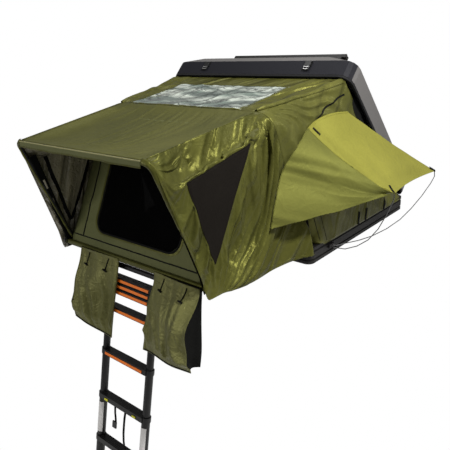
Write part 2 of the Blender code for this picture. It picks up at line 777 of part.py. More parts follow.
def rung_cage(name, number):
    """The collars and tread of one rung, with its two tubes, joined into one welded section."""
    radius = tube_radius(number)
    collar = radius + COLLAR_OVER
    tread_length = 2 * LADDER_HALF
    body = part_from(
        box_mesh(name, (tread_length, TREAD_DEPTH, TREAD_HEIGHT), (0, -0.004, 0)), name, LADDER_BLACK
    )
    for rib in range(TREAD_RIBS):
        y = -0.004 + TREAD_DEPTH * ((rib + 0.5) / TREAD_RIBS - 0.5)
        groove_size = (2 * (LADDER_HALF - collar), 0.003, 0.004)
        groove = box_mesh(name + "_rib", groove_size, (0, y, TREAD_HEIGHT / 2))
        combine(body, groove, "DIFFERENCE")
    for sign in (1, -1):
        centre = (sign * LADDER_HALF, 0, 0)
        combine(body, rod_mesh(name + "_collar", collar, COLLAR_HEIGHT, "Z", centre, 16), "UNION")
        middle = (sign * LADDER_HALF, 0, -RUNG_TUBE / 2)
        combine(body, rod_mesh(name + "_tube", radius, RUNG_TUBE, "Z", middle, 16), "UNION")
    bore = radius - TUBE_WALL
    for sign in (1, -1):
        through = (sign * LADDER_HALF, 0, -RUNG_TUBE / 2)
        combine(body, rod_mesh(name + "_bore", bore, RUNG_TUBE + 0.08, "Z", through, 16), "DIFFERENCE")
    return body


def ladder():
    """The telescoping ladder: its bracket, its top bar, its sections and two release buttons."""
    pivot = at(0, *LADDER_PIVOT)
    axis = bpy.data.objects.new("ladder_axis", None)
    tent.objects.link(axis)
    axis.location = pivot
    axis.rotation_euler.x = -LADDER_TILT

    spigot = LADDER_HALF + LADDER_SPIGOT
    lug_x = LADDER_HALF + LADDER_LUG
    round_bar = rod_mesh("ladder_top_bar", TOP_BAR_R, 2 * lug_x - 1.2 * LUG_THICK, "X", sides=20)
    bar = part_from(round_bar, "ladder_top_bar", LADDER_BLACK)
    bar.parent = axis
    combine(bar, rod_mesh("bar_spigot", SPIGOT_R, 2 * spigot, "X", sides=16), "UNION")
    for sign in (1, -1):
        centre = (sign * LADDER_HALF, 0, -RUNG_TUBE / 2)
        combine(bar, rod_mesh("bar_tube", TUBE_TOP_R, RUNG_TUBE, "Z", centre, 16), "UNION")
    smooth(bar)

    plate = box_mesh("ladder_bracket", (2 * spigot, BRACKET_DEPTH, BRACKET_PLATE))
    bracket = part_from(plate, "ladder_bracket", ALUMINIUM_BLACK)
    bracket.location = at(0, LADDER_PIVOT[0], -GAP - BRACKET_PLATE / 2)
    drop = -LADDER_PIVOT[1] + LUG_BELOW
    for sign in (1, -1):
        lug_place = (sign * lug_x, 0, -drop / 2 + BRACKET_PLATE / 2)
        lug = box_mesh("ladder_lug", (LUG_THICK, 2 * LUG_BELOW + 0.006, drop), lug_place)
        combine(bracket, lug, "UNION")
    hole_place = (0, 0, LADDER_PIVOT[1] + GAP + BRACKET_PLATE / 2)
    hole = rod_mesh("ladder_hole", SPIGOT_R + RUNNING, 2 * spigot + 0.02, "X", hole_place, 16)
    combine(bracket, hole, "DIFFERENCE")

    for number, below in enumerate(ladder_section_offsets()):
        if number == 0:
            continue
        section = rung_cage(f"ladder_section_{number}", number)
        section.parent = axis
        section.location = (0, 0, -below)
        if number == BUTTON_RUNG:
            release_buttons(axis, below)
        smooth(section)


def release_buttons(axis, below):
    """Two thumb buttons on the front face of one rung, which slide towards its middle."""
    front = -0.004 - TREAD_DEPTH / 2

    def build(side, sign):
        name = f"release_button_{side}"
        size = (BUTTON_LENGTH, BUTTON_DEPTH, BUTTON_HEIGHT)
        button = part_from(box_mesh(name, size), name, BUTTON_YELLOW)
        button.parent = axis
        button.location = (sign * BUTTON_X, front - GAP - BUTTON_DEPTH / 2, -below - 0.004)

    both_sides(build)


# the tent's fabric, drawn on the outside of the bows

INSIDE = at(0.0, 0.1, 0.3)


def bow_place(foot, top, x, up):
    """A point in a bow's leaning plane, up being its distance from the bow's feet."""
    rise = (Vector(top) - Vector(foot)).normalized()
    return Vector((x, foot[0] + rise.x * up, foot[1] + rise.y * up))


def bow_corner(foot, top, top_x, corner, turn):
    """Just outside a bow's rounded corner: turn is 0 on its top bar and 1 on its leg."""
    leg = (Vector(top) - Vector(foot)).length
    angle = math.pi / 2 * (1 - turn)
    radius = corner + FLY_OVER
    x = top_x - corner + radius * math.cos(angle)
    return bow_place(foot, top, x, leg - corner + radius * math.sin(angle))


def ridge_point(x_share):
    """A point on the fly's ridge, over the middle bow, from its left to its right corner."""
    half = MID_BOW_X - MID_BOW_CORNER
    return at((2 * x_share - 1) * half, MID_BOW_TOP[0], MID_BOW_TOP[1] + BOW_R + 2 * GAP)


def front_point(x_share):
    """A point on the fly's front edge, over the front bow."""
    half = FRONT_BOW_TOP_X - FRONT_BOW_CORNER
    return at((2 * x_share - 1) * half, FRONT_BOW_TOP[0], FRONT_BOW_TOP[1] + BOW_R + 2 * GAP)


def lid_point(x, inward, level):
    """A point at the lid's rim, inward from its front edge and level above the rim."""
    s = LID_LENGTH + LID_AXIS_BEHIND - inward
    return at(
        x,
        HINGE_Y - s * math.cos(LID_OPEN) + level * math.sin(LID_OPEN),
        s * math.sin(LID_OPEN) + level * math.cos(LID_OPEN),
    )


def hump(share):
    """Zero at both ends of a span and one in its middle."""
    return 4 * share * (1 - share)


def roof():
    """The front roof panel, its valance, the rear roof round the skylight, and the skylight."""
    columns, lines = 13, 9
    rows = []
    for line in range(lines):
        share = line / (lines - 1)
        row = []
        for column in range(columns):
            across = column / (columns - 1)
            point = blend_points(ridge_point(across), front_point(across), share)
            point.z -= EAVE_SAG * hump(share) * hump(across)
            point.z += 0.003 * math.sin(11 * across * math.pi) * hump(share)
            row.append(point)
        rows.append(row)
    sheet("roof_front", rows, OLIVE, INSIDE)

    drop = 0.034
    valance = []
    for level in range(3):
        lower = drop * level / 2
        valance.append(
            [
                front_point(column / 12) + Vector((0, -BOW_R - GAP, -SEAM - lower))
                for column in range(13)
            ]
        )
    sheet("awning_valance", valance, OLIVE, INSIDE)

    half = MID_BOW_X - MID_BOW_CORNER
    lid_half = LID_WIDTH / 2 - 0.060
    border = 0.0008

    def rear_point(across, share):
        x_low = (2 * across - 1) * half
        x_high = (2 * across - 1) * lid_half
        high = lid_point(x_high, 0.022, -0.016)
        low = ridge_point(across) + Vector((0, SEAM, 0))
        low.x = x_low
        point = blend_points(low, high, share)
        point.z -= 0.010 * hump(share)
        return point

    def window_side(share):
        return 0.5 - SKYLIGHT_HALF / (2 * (half + (lid_half - half) * share))

    window_rows = []
    for line in range(8):
        share = WINDOW_LOW + (WINDOW_HIGH - WINDOW_LOW) * line / 7
        inner = window_side(share)
        window_rows.append([rear_point(inner + (1 - 2 * inner) * c / 10, share) for c in range(11)])
    sheet("skylight", window_rows, CLEAR, INSIDE)

    def across_marks(share):
        edge = window_side(share) - border
        left = [0.0, edge * 0.35, edge * 0.7, edge]
        middle = [edge + (1 - 2 * edge) * c / 8 for c in range(1, 8)]
        return left + middle + [1 - mark for mark in reversed(left)]

    share_marks = [0.0, WINDOW_LOW - 2 * border]
    share_marks += [WINDOW_LOW + (WINDOW_HIGH - WINDOW_LOW) * c / 6 for c in range(1, 6)]
    share_marks += [WINDOW_HIGH + 2 * border, 0.87, 1.0]
    rows = [[rear_point(across, share) for across in across_marks(share)] for share in share_marks]
    window_lines = range(1, len(share_marks) - 3)
    window_columns = range(3, 11)
    sheet(
        "roof_rear",
        rows,
        OLIVE,
        INSIDE,
        hole=lambda line, column: line in window_lines and column in window_columns,
    )


FLY_X = MID_BOW_X + FLY_OVER
HEM = -0.030
WING_CORNER = 0.18


def mid_leg_y(level):
    """Where the middle bow's legs are, from front to back, at a height above the rim."""
    share = (level - MID_BOW_FOOT[1]) / (MID_BOW_TOP[1] - MID_BOW_FOOT[1])
    return MID_BOW_FOOT[0] + (MID_BOW_TOP[0] - MID_BOW_FOOT[0]) * share


def wing_point(sign, ahead, down):
    """A point on a side wing: ahead is 0 at the middle bow and 1 at the front bow.

    down is 0 along the roof's edge and 1 along the hem, which hangs below the floor.
    """
    turn = min(1.0, down / WING_CORNER)
    rear = bow_corner(MID_BOW_FOOT, MID_BOW_TOP, MID_BOW_X, MID_BOW_CORNER, turn)
    front = bow_corner(FRONT_BOW_FOOT, FRONT_BOW_TOP, FRONT_BOW_TOP_X, FRONT_BOW_CORNER, turn)
    low = max(0.0, (down - WING_CORNER) / (1 - WING_CORNER))
    rear = rear.lerp(Vector((FLY_X, mid_leg_y(0.012), 0.012)), low)
    front = front.lerp(Vector((FRONT_BOW_X + 0.050, FRONT_BOW_FOOT[0] - 0.030, HEM)), low)
    point = rear.lerp(front, ahead)
    hang = hump(ahead) ** 0.7
    below = max(0.0, (down - 0.85) / 0.15)
    point.z += (HEM - point.z) * below * min(1.0, ahead * 5)
    point.y -= 0.060 * below * (1 - ahead) * min(1.0, ahead * 5)
    waves = math.sin((ahead * 3.5 + 0.35 * down) * 2 * math.pi)
    point.x += FOLD_SIZE * (1.0 + waves) * hang * min(1.0, down * 3)
    point.x += SEAM * (1 - turn)
    point.x *= sign
    return at(*point)


def wing(side, sign):
    """A side wing between the two bows, and the black vent panel sewn on its outside."""
    columns = [column / 24 for column in range(25)]
    lines = [WING_CORNER * line / CORNER_STEPS for line in range(CORNER_STEPS)]
    lines += [WING_CORNER + (1 - WING_CORNER) * line / 9 for line in range(10)]
    rows = [[wing_point(sign, ahead, down) for ahead in columns] for down in lines]
    sheet(f"wing_{side}", rows, OLIVE, INSIDE)

    out = Vector((sign * (CLOTH + VENT_PROUD), 0, 0))
    patch = []
    for line in range(10):
        share = line / 9
        middle = 0.60 + 0.26 * share
        half = 0.235 * (1 - 0.93 * share)
        down = 0.22 + 0.60 * share
        patch.append([wing_point(sign, middle + half * (c / 4 - 1), down) + out for c in range(9)])
    sheet(f"vent_{side}", patch, MESH, INSIDE, 0.0012)


def side_wall_rows(sign):
    """The points of a side wall, from the base's edge up to the middle bow and the lid's rim."""
    behind_bow = Vector((0, CLOTH + 2 * SEAM, 0))
    foot = Vector((FLY_X, mid_leg_y(GAP), GAP)) + behind_bow
    ridge = bow_corner(MID_BOW_FOOT, MID_BOW_TOP, MID_BOW_X, MID_BOW_CORNER, 0.0) + behind_bow
    knee = bow_corner(MID_BOW_FOOT, MID_BOW_TOP, MID_BOW_X, MID_BOW_CORNER, 1.0) + behind_bow
    lid_front = lid_point(WALL_X, 0.030, -0.020) - at(0, 0, 0)
    lid_rear = lid_point(WALL_X, LID_LENGTH - 0.060, -0.020) - at(0, 0, 0)
    top_share, leg_share = 0.40, 0.75
    rows = []
    lines = [leg_share * line / 9 for line in range(9)]
    lines += [leg_share + (1 - leg_share) * line / CORNER_STEPS for line in range(CORNER_STEPS + 1)]
    for up in lines:
        if up <= leg_share:
            front = foot.lerp(knee, up / leg_share)
        else:
            turn = 1 - (up - leg_share) / (1 - leg_share)
            front = bow_corner(MID_BOW_FOOT, MID_BOW_TOP, MID_BOW_X, MID_BOW_CORNER, turn) + behind_bow
        bend = front - foot.lerp(ridge, up)
        row = []
        for column in range(19):
            back = column / 18
            bottom = foot.lerp(Vector((WALL_X, lid_rear.y, GAP)), back)
            bottom.x = FLY_X + (WALL_X - FLY_X) * min(1.0, back * 6)
            if back < top_share:
                top = ridge.lerp(lid_front, back / top_share)
            else:
                top = lid_front.lerp(lid_rear, (back - top_share) / (1 - top_share))
            point = bottom.lerp(top, up) + bend * max(0.0, 1 - back / top_share) ** 2
            waves = math.sin((back * 4 + 0.4 * up) * 2 * math.pi)
            point.x += 0.5 * FOLD_SIZE * (1.0 + waves) * hump(up) * hump(back)
            point.x *= sign
            row.append(at(*point))
        rows.append(row)
    return rows


def side_wall(side, sign):
    """The wall over the base's side, from the middle bow to the lid's rim and down to the base."""
    sheet(f"side_wall_{side}", side_wall_rows(sign), OLIVE, INSIDE)


def panel_outline(half_low, half_high, low, high, radius, steps=4):
    """A trapezium with rounded corners, anticlockwise from its upper right corner."""
    points = []
    for number in range(4):
        upper = number in (0, 1)
        right = number in (0, 3)
        half = half_high if upper else half_low
        y = high - radius if upper else low + radius
        x = half - radius if right else radius - half
        for step in range(steps + 1):
            angle = math.pi / 2 * (number + step / steps)
            points.append((x + radius * math.cos(angle), y + radius * math.sin(angle)))
    return points


def front_wall():
    """The front wall with its door opening, and the mesh door in it."""
    outline = panel_outline(WALL_HALF_LOW, WALL_HALF_HIGH, 0.0, WALL_HEIGHT, 0.02, 2)
    opening = panel_outline(DOOR_HALF, DOOR_HALF, DOOR_LOW, DOOR_HIGH, DOOR_CORNER)
    inner = DOOR_HALF - SEAM
    door = panel_outline(inner, inner, DOOR_LOW + SEAM, DOOR_HIGH - SEAM, DOOR_CORNER - SEAM)
    for name, loops, thickness, finish in (
        ("front_wall", [outline, opening], CLOTH, OLIVE),
        ("door_mesh", [door], CLOTH / 2, MESH),
    ):
        panel = part_from(flat_solid(name, loops, thickness), name, finish)
        panel.location = at(0, WALL_FOOT_Y, FOLD_PANEL + CLOTH / 2)
        panel.rotation_euler.x = WALL_LEAN


AWNING_ARCH = (
    (-0.330, 0.215),
    (-0.290, 0.350),
    (-0.235, 0.460),
    (-0.160, 0.575),
    (-0.020, 0.700),
    (0.110, 0.757),
    (0.260, 0.782),
    (0.420, 0.775),
)
AWNING_HEM = 0.005
AWNING_TIP_X = BASE_SIDE + 0.355
AWNING_TIP_Z = 0.325
AWNING_NEAR_Y = 0.345
AWNING_FAR_Y = 1.030


def fabric_reach(rows, y, z):
    """How far out the fabric comes near a place on the tent's side."""
    goal = at(0, y, z)
    near = [abs(p.x) for row in rows for p in row if (p - goal).yz.length < 0.10]
    return max(near)


def awning(side, sign):
    """A side awning, from its arch on the wall out to the tips of its two spring rods."""
    columns, lines = 17, 9
    near = Vector((AWNING_TIP_X, AWNING_NEAR_Y, AWNING_TIP_Z))
    far = Vector((AWNING_TIP_X, AWNING_FAR_Y, AWNING_TIP_Z))
    low_end = near + Vector((-0.030, -0.020, -0.008))
    behind = side_wall_rows(1)
    behind += [[wing_point(1, c / 12, 0.2 + d / 12) for c in range(13)] for d in range(10)]
    rows = []
    for column in range(columns):
        share = column / (columns - 1)
        y, z, _ = along([(y, z, 0) for y, z in AWNING_ARCH], share)
        root = Vector((fabric_reach(behind, y, z) + CLOTH + AWNING_HEM, y, z))
        if share < 0.5:
            tip = low_end.lerp(near, share / 0.5)
        else:
            tip = near.lerp(far, (share - 0.5) / 0.5)
        row = []
        for line in range(lines):
            out = line / (lines - 1)
            point = root.lerp(tip, out)
            point.z -= 0.018 * hump(out)
            point.z += 0.004 * math.sin((share * 4 + 0.3) * 2 * math.pi) * hump(out)
            point.x *= sign
            row.append(at(*point))
        rows.append(row)
    sheet(f"side_awning_{side}", rows, LIME, at(0, 0.3, -0.2), 0.0014)


NEAR_ROD = (
    (0.0154, 0.228, -0.045),
    (0.0350, 0.229, -0.052),
    (0.0970, 0.257, -0.057),
    (0.1660, 0.281, -0.029),
    (0.2260, 0.302, 0.018),
    (0.2780, 0.320, 0.094),
    (0.3150, 0.332, 0.180),
    (0.3450, 0.342, 0.265),
    (0.3550, 0.3453, 0.300),
    (0.3525, 0.3450, 0.3240),
)
FAR_ROD = (
    (0.0155, 0.254, -0.045),
    (0.0280, 0.258, -0.048),
    (0.0570, 0.335, -0.052),
    (0.1020, 0.438, -0.054),
    (0.1460, 0.542, -0.046),
    (0.1960, 0.660, -0.018),
    (0.2420, 0.763, 0.027),
    (0.2800, 0.850, 0.090),
    (0.3150, 0.932, 0.165),
    (0.3450, 1.000, 0.245),
    (0.3570, 1.026, 0.290),
    (0.3525, 1.0270, 0.3240),
)


def awning_rods(side, sign):
    """Two spring steel rods from the socket on the base's side to the awning's corners."""
    for end, route in (("front", NEAR_ROD), ("rear", FAR_ROD)):
        name = f"awning_rod_{side}_{end}"
        curve = tube_curve(name, [at(sign * (BASE_SIDE + out), y, z) for out, y, z in route], ROD_R, 1)
        part_from(mesh_from_curve(curve, name), name, SPRING)


def boot_bag(side, sign):
    """A boot bag hung on the floor's front edge, its back leaning forward as the ladder does."""
    name = f"boot_bag_{side}"
    levels = (
        (0.00, 0.94, 0.30),
        (0.11, 0.96, 0.70),
        (0.33, 1.00, 0.95),
        (0.61, 1.00, 1.00),
        (0.87, 0.97, 0.90),
        (1.00, 0.90, 0.55),
    )

    def fill(shape):
        rings = []
        for down, wide, deep in levels:
            ring = []
            half_w = BAG_WIDTH / 2 * wide
            half_d = BAG_DEPTH / 2 * deep
            back = math.tan(LADDER_TILT) * max(0.0, down * BAG_HEIGHT - BAG_TOP)
            for x, y in rounded_corners(2 * half_w, 2 * half_d, min(half_d * 0.9, BAG_CORNER), 2):
                ring.append(shape.verts.new((x, y - half_d - back, -down * BAG_HEIGHT)))
            rings.append(ring)
        for high, low in zip(rings, rings[1:]):
            for number in range(len(high)):
                after = (number + 1) % len(high)
                shape.faces.new((high[number], high[after], low[after], low[number]))
        shape.faces.new(rings[0])
        shape.faces.new(list(reversed(rings[-1])))

    bag = part_from(mesh_of(fill, name), name, OLIVE)
    bag.location = at(sign * BAG_X + BAG_SHIFT, BAG_BACK, BAG_TOP)
    smooth(bag, 50.0)


both_sides(latch)
both_sides(strut)
rack_rail("front_rack_rail", 0.0)
rack_rail("rear_rack_rail", RAIL_SPACING)
base()
hinges()
lid()
bows()
fold_floor()
ladder()
roof()
both_sides(wing)
both_sides(side_wall)
front_wall()
both_sides(awning)
both_sides(awning_rods)
both_sides(boot_bag)
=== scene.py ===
"""The dressed roof top tent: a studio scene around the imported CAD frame."""

import math

import bmesh
import bpy
from mathutils import Matrix, Vector, noise as mnoise
from mathutils.bvhtree import BVHTree


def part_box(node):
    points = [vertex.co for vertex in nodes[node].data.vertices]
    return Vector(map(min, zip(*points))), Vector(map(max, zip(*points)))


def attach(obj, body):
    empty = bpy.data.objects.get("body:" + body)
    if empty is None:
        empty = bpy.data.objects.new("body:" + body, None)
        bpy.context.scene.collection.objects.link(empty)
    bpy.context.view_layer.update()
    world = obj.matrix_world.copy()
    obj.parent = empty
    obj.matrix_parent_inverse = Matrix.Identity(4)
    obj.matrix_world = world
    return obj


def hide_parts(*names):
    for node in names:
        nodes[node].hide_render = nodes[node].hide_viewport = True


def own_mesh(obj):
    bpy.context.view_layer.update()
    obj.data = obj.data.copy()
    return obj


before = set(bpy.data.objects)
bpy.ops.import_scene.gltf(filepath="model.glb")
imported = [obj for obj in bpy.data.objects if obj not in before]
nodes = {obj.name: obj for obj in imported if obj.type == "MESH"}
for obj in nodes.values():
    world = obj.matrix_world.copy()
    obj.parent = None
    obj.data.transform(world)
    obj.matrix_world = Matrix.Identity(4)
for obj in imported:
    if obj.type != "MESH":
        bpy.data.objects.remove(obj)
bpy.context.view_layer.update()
scene = bpy.context.scene


# The camera and the studio.
# The camera stands off the tent's front right, a little above its roof, with a normal lens.
# Four softboxes and a pale sky light it over a plain white floor.
camera_data = bpy.data.cameras.new("camera")
camera_data.sensor_width = 36.0
camera_data.lens = 41.27
camera_data.clip_end = 100.0
camera = bpy.data.objects.new("camera", camera_data)
scene.collection.objects.link(camera)
scene.camera = camera
CAMERA_PLACE = Vector((2.219, -2.855, 1.3273))
HEADING, DIP, ROLL = math.radians(40.32), math.radians(19.11), math.radians(-1.87)
ahead = Vector((-math.sin(HEADING) * math.cos(DIP), math.cos(HEADING) * math.cos(DIP), -math.sin(DIP)))
level_right = Vector((math.cos(HEADING), math.sin(HEADING), 0.0))
level_up = level_right.cross(ahead)
right = level_right * math.cos(ROLL) + level_up * math.sin(ROLL)
up = level_up * math.cos(ROLL) - level_right * math.sin(ROLL)
camera.matrix_world = Matrix.Translation(CAMERA_PLACE) @ Matrix((right, up, -ahead)).transposed().to_4x4()


def seen_apart(tree, lit, seen, output):
    """Shows the camera one shader where the light meets another."""
    path = tree.nodes.new("ShaderNodeLightPath")
    choose = tree.nodes.new("ShaderNodeMixShader")
    tree.links.new(path.outputs["Is Camera Ray"], choose.inputs["Fac"])
    tree.links.new(lit, choose.inputs[1])
    tree.links.new(seen, choose.inputs[2])
    tree.links.new(choose.outputs["Shader"], tree.nodes[output].inputs["Surface"])


scene.view_settings.view_transform = "Standard"
world = bpy.data.worlds.new("studio")
scene.world = world
world.use_nodes = True
tree = world.node_tree
sky = tree.nodes["Background"]
sky.inputs["Color"].default_value = (1.0, 1.0, 1.0, 1.0)
sky.inputs["Strength"].default_value = 0.20
seen = tree.nodes.new("ShaderNodeBackground")
seen.inputs["Color"].default_value = (1.0, 1.0, 1.0, 1.0)
seen.inputs["Strength"].default_value = 1.0
seen_apart(tree, sky.outputs["Background"], seen.outputs["Background"], "World Output")


def softbox(name, place, aim, size, power):
    """A rectangular light at one place, aimed at another."""
    light = bpy.data.lights.new(name, "AREA")
    light.shape = "RECTANGLE"
    light.size, light.size_y = size
    light.energy = power
    box = bpy.data.objects.new(name, light)
    scene.collection.objects.link(box)
    box.location = place
    box.rotation_euler = (Vector(aim) - Vector(place)).to_track_quat("-Z", "Y").to_euler()


softbox("key", (2.9, -1.0, 3.5), (0.3, -0.2, 0.4), (0.5, 0.5), 235.0)
softbox("overhead", (-0.6, -0.2, 4.2), (0.0, 0.0, 0.5), (2.2, 1.6), 34.0)
softbox("right_rear", (4.2, 1.6, 2.2), (0.3, 0.2, 0.5), (1.0, 1.0), 26.0)
softbox("front_left", (-1.6, -4.4, 1.6), (0.0, -0.6, 0.2), (1.6, 1.6), 50.0)

FLOOR_HALF = 40
FLOOR_GAP = 0.004
floor_z = min(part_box(node)[0].z for node in nodes) - FLOOR_GAP
corners = [(x * FLOOR_HALF, y * FLOOR_HALF, floor_z) for x, y in ((-1, -1), (1, -1), (1, 1), (-1, 1))]
floor_mesh = bpy.data.meshes.new("studio_floor")
floor_mesh.from_pydata(corners, [], [(0, 1, 2, 3)])
floor = bpy.data.objects.new("studio_floor", floor_mesh)
scene.collection.objects.link(floor)
floor_finish = bpy.data.materials.new("studio_floor")
floor_finish.use_nodes = True
tree = floor_finish.node_tree
paper = tree.nodes["Principled BSDF"]
paper.inputs["Base Color"].default_value = (0.86, 0.86, 0.85, 1)
paper.inputs["Roughness"].default_value = 0.9
white = tree.nodes.new("ShaderNodeEmission")
seen_apart(tree, paper.outputs["BSDF"], white.outputs["Emission"], "Material Output")
floor_mesh.materials.append(floor_finish)


# The base and its hardware.
# A frame of black powder-coated extrusion with two grooves, bolted to two rack rails. It holds a board,
# and zinc-plated piano hinges join the lid and the fold-out floor to it.
def effect(name, inputs, outputs):
    """An empty shader group with named inputs (name, kind, value) and outputs (name, kind)."""
    group = bpy.data.node_groups.new(name, "ShaderNodeTree")
    for label, kind, value in inputs:
        socket = group.interface.new_socket(label, in_out="INPUT", socket_type=kind)
        socket.default_value = value
    for label, kind in outputs:
        group.interface.new_socket(label, in_out="OUTPUT", socket_type=kind)
    start = group.nodes.new("NodeGroupInput")
    end = group.nodes.new("NodeGroupOutput")
    return group, start, end


def maths(tree, operation, *values):
    """A Math node; each value is a number or another node's output."""
    node = tree.nodes.new("ShaderNodeMath")
    node.operation = operation
    for socket, value in zip(node.inputs, values):
        if isinstance(value, (int, float)):
            socket.default_value = value
        else:
            tree.links.new(value, socket)
    return node.outputs[0]


def noise(tree, place, scale, detail=3.0, distortion=0.0):
    """A Noise Texture's value; the scale is a number or another node's output."""
    node = tree.nodes.new("ShaderNodeTexNoise")
    node.inputs["Detail"].default_value = detail
    node.inputs["Distortion"].default_value = distortion
    tree.links.new(place, node.inputs["Vector"])
    if isinstance(scale, (int, float)):
        node.inputs["Scale"].default_value = scale
    else:
        tree.links.new(scale, node.inputs["Scale"])
    return node.outputs["Fac"]


def shade_mix(tree, factor, dark, light):
    """A colour between two others, by a factor."""
    node = tree.nodes.new("ShaderNodeMix")
    node.data_type = "RGBA"
    tree.links.new(factor, node.inputs["Factor"])
    for socket, value in ((node.inputs[6], dark), (node.inputs[7], light)):
        if isinstance(value, tuple):
            socket.default_value = (*value, 1.0)
        else:
            tree.links.new(value, socket)
    return node.outputs[2]


def grain_effect():
    """Moulded or coated grain: a fine height, and a slow drift from 0 to 1 for colour."""
    group, start, end = effect(
        "surface_grain",
        [("Fine", "NodeSocketFloat", 400.0), ("Slow", "NodeSocketFloat", 3.0)],
        [("Height", "NodeSocketFloat"), ("Drift", "NodeSocketFloat"), ("Scuff", "NodeSocketFloat")],
    )
    place = group.nodes.new("ShaderNodeTexCoord").outputs["Object"]
    fine = noise(group, place, start.outputs["Fine"], 2.0)
    slow = noise(group, place, start.outputs["Slow"], 4.0, 0.4)
    scuff = noise(group, place, maths(group, "MULTIPLY", start.outputs["Slow"], 9.0), 6.0, 1.5)
    group.links.new(fine, end.inputs["Height"])
    group.links.new(slow, end.inputs["Drift"])
    group.links.new(maths(group, "GREATER_THAN", scuff, 0.62), end.inputs["Scuff"])
    return group


GRAIN = grain_effect()


def add_bump(tree, height, strength, distance, under=None):
    """A Bump node's normal, over another normal where one is given."""
    relief = tree.nodes.new("ShaderNodeBump")
    relief.inputs["Strength"].default_value = strength
    relief.inputs["Distance"].default_value = distance
    tree.links.new(height, relief.inputs["Height"])
    if under:
        tree.links.new(under, relief.inputs["Normal"])
    return relief.outputs["Normal"]


def new_finish(name):
    """A new material, with its node tree and its shader."""
    material = bpy.data.materials.new(name)
    material.use_nodes = True
    return material, material.node_tree, material.node_tree.nodes["Principled BSDF"]


def placed_effect(tree, group, **values):
    """A shared effect placed in a material with its own values."""
    node = tree.nodes.new("ShaderNodeGroup")
    node.node_tree = group
    for label, value in values.items():
        node.inputs[label].default_value = value
    return node.outputs


def hard_finish(
    name, dark, light, roughness, metallic=0.0, fine=400.0, slow=3.0, bump=0.1, rough_drift=0.15, shine=0.5
):
    """A coated, moulded or metal surface with light scuffs; fine and slow scale its grain and tone."""
    material, tree, shader = new_finish(name)
    grain = placed_effect(tree, GRAIN, Fine=fine, Slow=slow)
    tree.links.new(shade_mix(tree, grain["Drift"], dark, light), shader.inputs["Base Color"])
    drift = maths(tree, "MULTIPLY", grain["Drift"], rough_drift)
    scuffed = maths(tree, "MULTIPLY_ADD", grain["Scuff"], 0.08, drift)
    tree.links.new(maths(tree, "ADD", scuffed, roughness - rough_drift / 2), shader.inputs["Roughness"])
    shader.inputs["Metallic"].default_value = metallic
    shader.inputs["Specular IOR Level"].default_value = shine
    tree.links.new(add_bump(tree, grain["Height"], bump, 0.001), shader.inputs["Normal"])
    return material


def dress(names, material):
    """Gives CAD nodes a material."""
    for name in names:
        mesh = nodes[name].data
        mesh.materials.clear()
        mesh.materials.append(material)


black_coat = hard_finish(
    "black_powder_coat", (0.006, 0.0055, 0.005), (0.013, 0.012, 0.011), 0.42, 0.0, 900.0, 3.0, 0.2, shine=0.3
)
dress(["base_frame", "front_rack_rail", "rear_rack_rail", "floor_edge_trim", "ladder_bracket"], black_coat)
zinc = hard_finish("zinc_plate", (0.35, 0.35, 0.36), (0.52, 0.52, 0.53), 0.38, 1.0, 250.0, 6.0, 0.05)
dress(["rear_hinge_base", "rear_hinge_lid", "floor_hinge_base", "floor_hinge_leaf"], zinc)
board = hard_finish("mill_board", (0.22, 0.215, 0.20), (0.32, 0.31, 0.29), 0.5, 0.3, 300.0, 2.0, 0.08)
dress(["base_floor", "fold_floor"], board)


# The lid.
# A moulded grey textured shell with a black painted skirt, lined with felt and closed on a foam seal.
# An extruded accessory bar is bolted on top, and two black latches sit on the front skirt.
LID_OPEN = math.radians(43.5)
LID_FORWARD = Vector((0.0, -math.cos(LID_OPEN), math.sin(LID_OPEN)))
LID_UP = Vector((0.0, math.sin(LID_OPEN), math.cos(LID_OPEN)))


def dot_product(tree, first, second):
    """A dot product; the second vector is fixed or another node's output."""
    node = tree.nodes.new("ShaderNodeVectorMath")
    node.operation = "DOT_PRODUCT"
    tree.links.new(first, node.inputs[0])
    if isinstance(second, Vector):
        node.inputs[1].default_value = second
    else:
        tree.links.new(second, node.inputs[1])
    return node.outputs["Value"]


def ramp(tree, value, low, high):
    """0 below low and 1 above high; the other way round where low is above high."""
    node = tree.nodes.new("ShaderNodeMapRange")
    node.inputs["From Min"].default_value = low
    node.inputs["From Max"].default_value = high
    tree.links.new(value, node.inputs["Value"])
    return node.outputs["Result"]


def lid_finish():
    """Grey textured shell, its front skirt painted black and less shiny."""
    grey_low, grey_high = (0.095, 0.090, 0.086), (0.140, 0.133, 0.128)
    material = hard_finish("lid_texture", grey_low, grey_high, 0.50, 0.0, 260.0, 2.0, 0.45)
    tree = material.node_tree
    shader = tree.nodes["Principled BSDF"]
    facing = tree.nodes.new("ShaderNodeTexCoord").outputs["Normal"]
    forward = ramp(tree, dot_product(tree, facing, LID_FORWARD), 0.20, 0.45)
    upright = ramp(tree, dot_product(tree, facing, LID_UP), 0.35, 0.15)
    skirt = maths(tree, "MULTIPLY", forward, upright)
    grey = shader.inputs["Base Color"].links[0].from_socket
    tree.links.new(shade_mix(tree, skirt, grey, (0.012, 0.012, 0.015)), shader.inputs["Base Color"])
    tree.links.new(maths(tree, "MULTIPLY_ADD", skirt, -0.40, 0.5), shader.inputs["Specular IOR Level"])
    return material


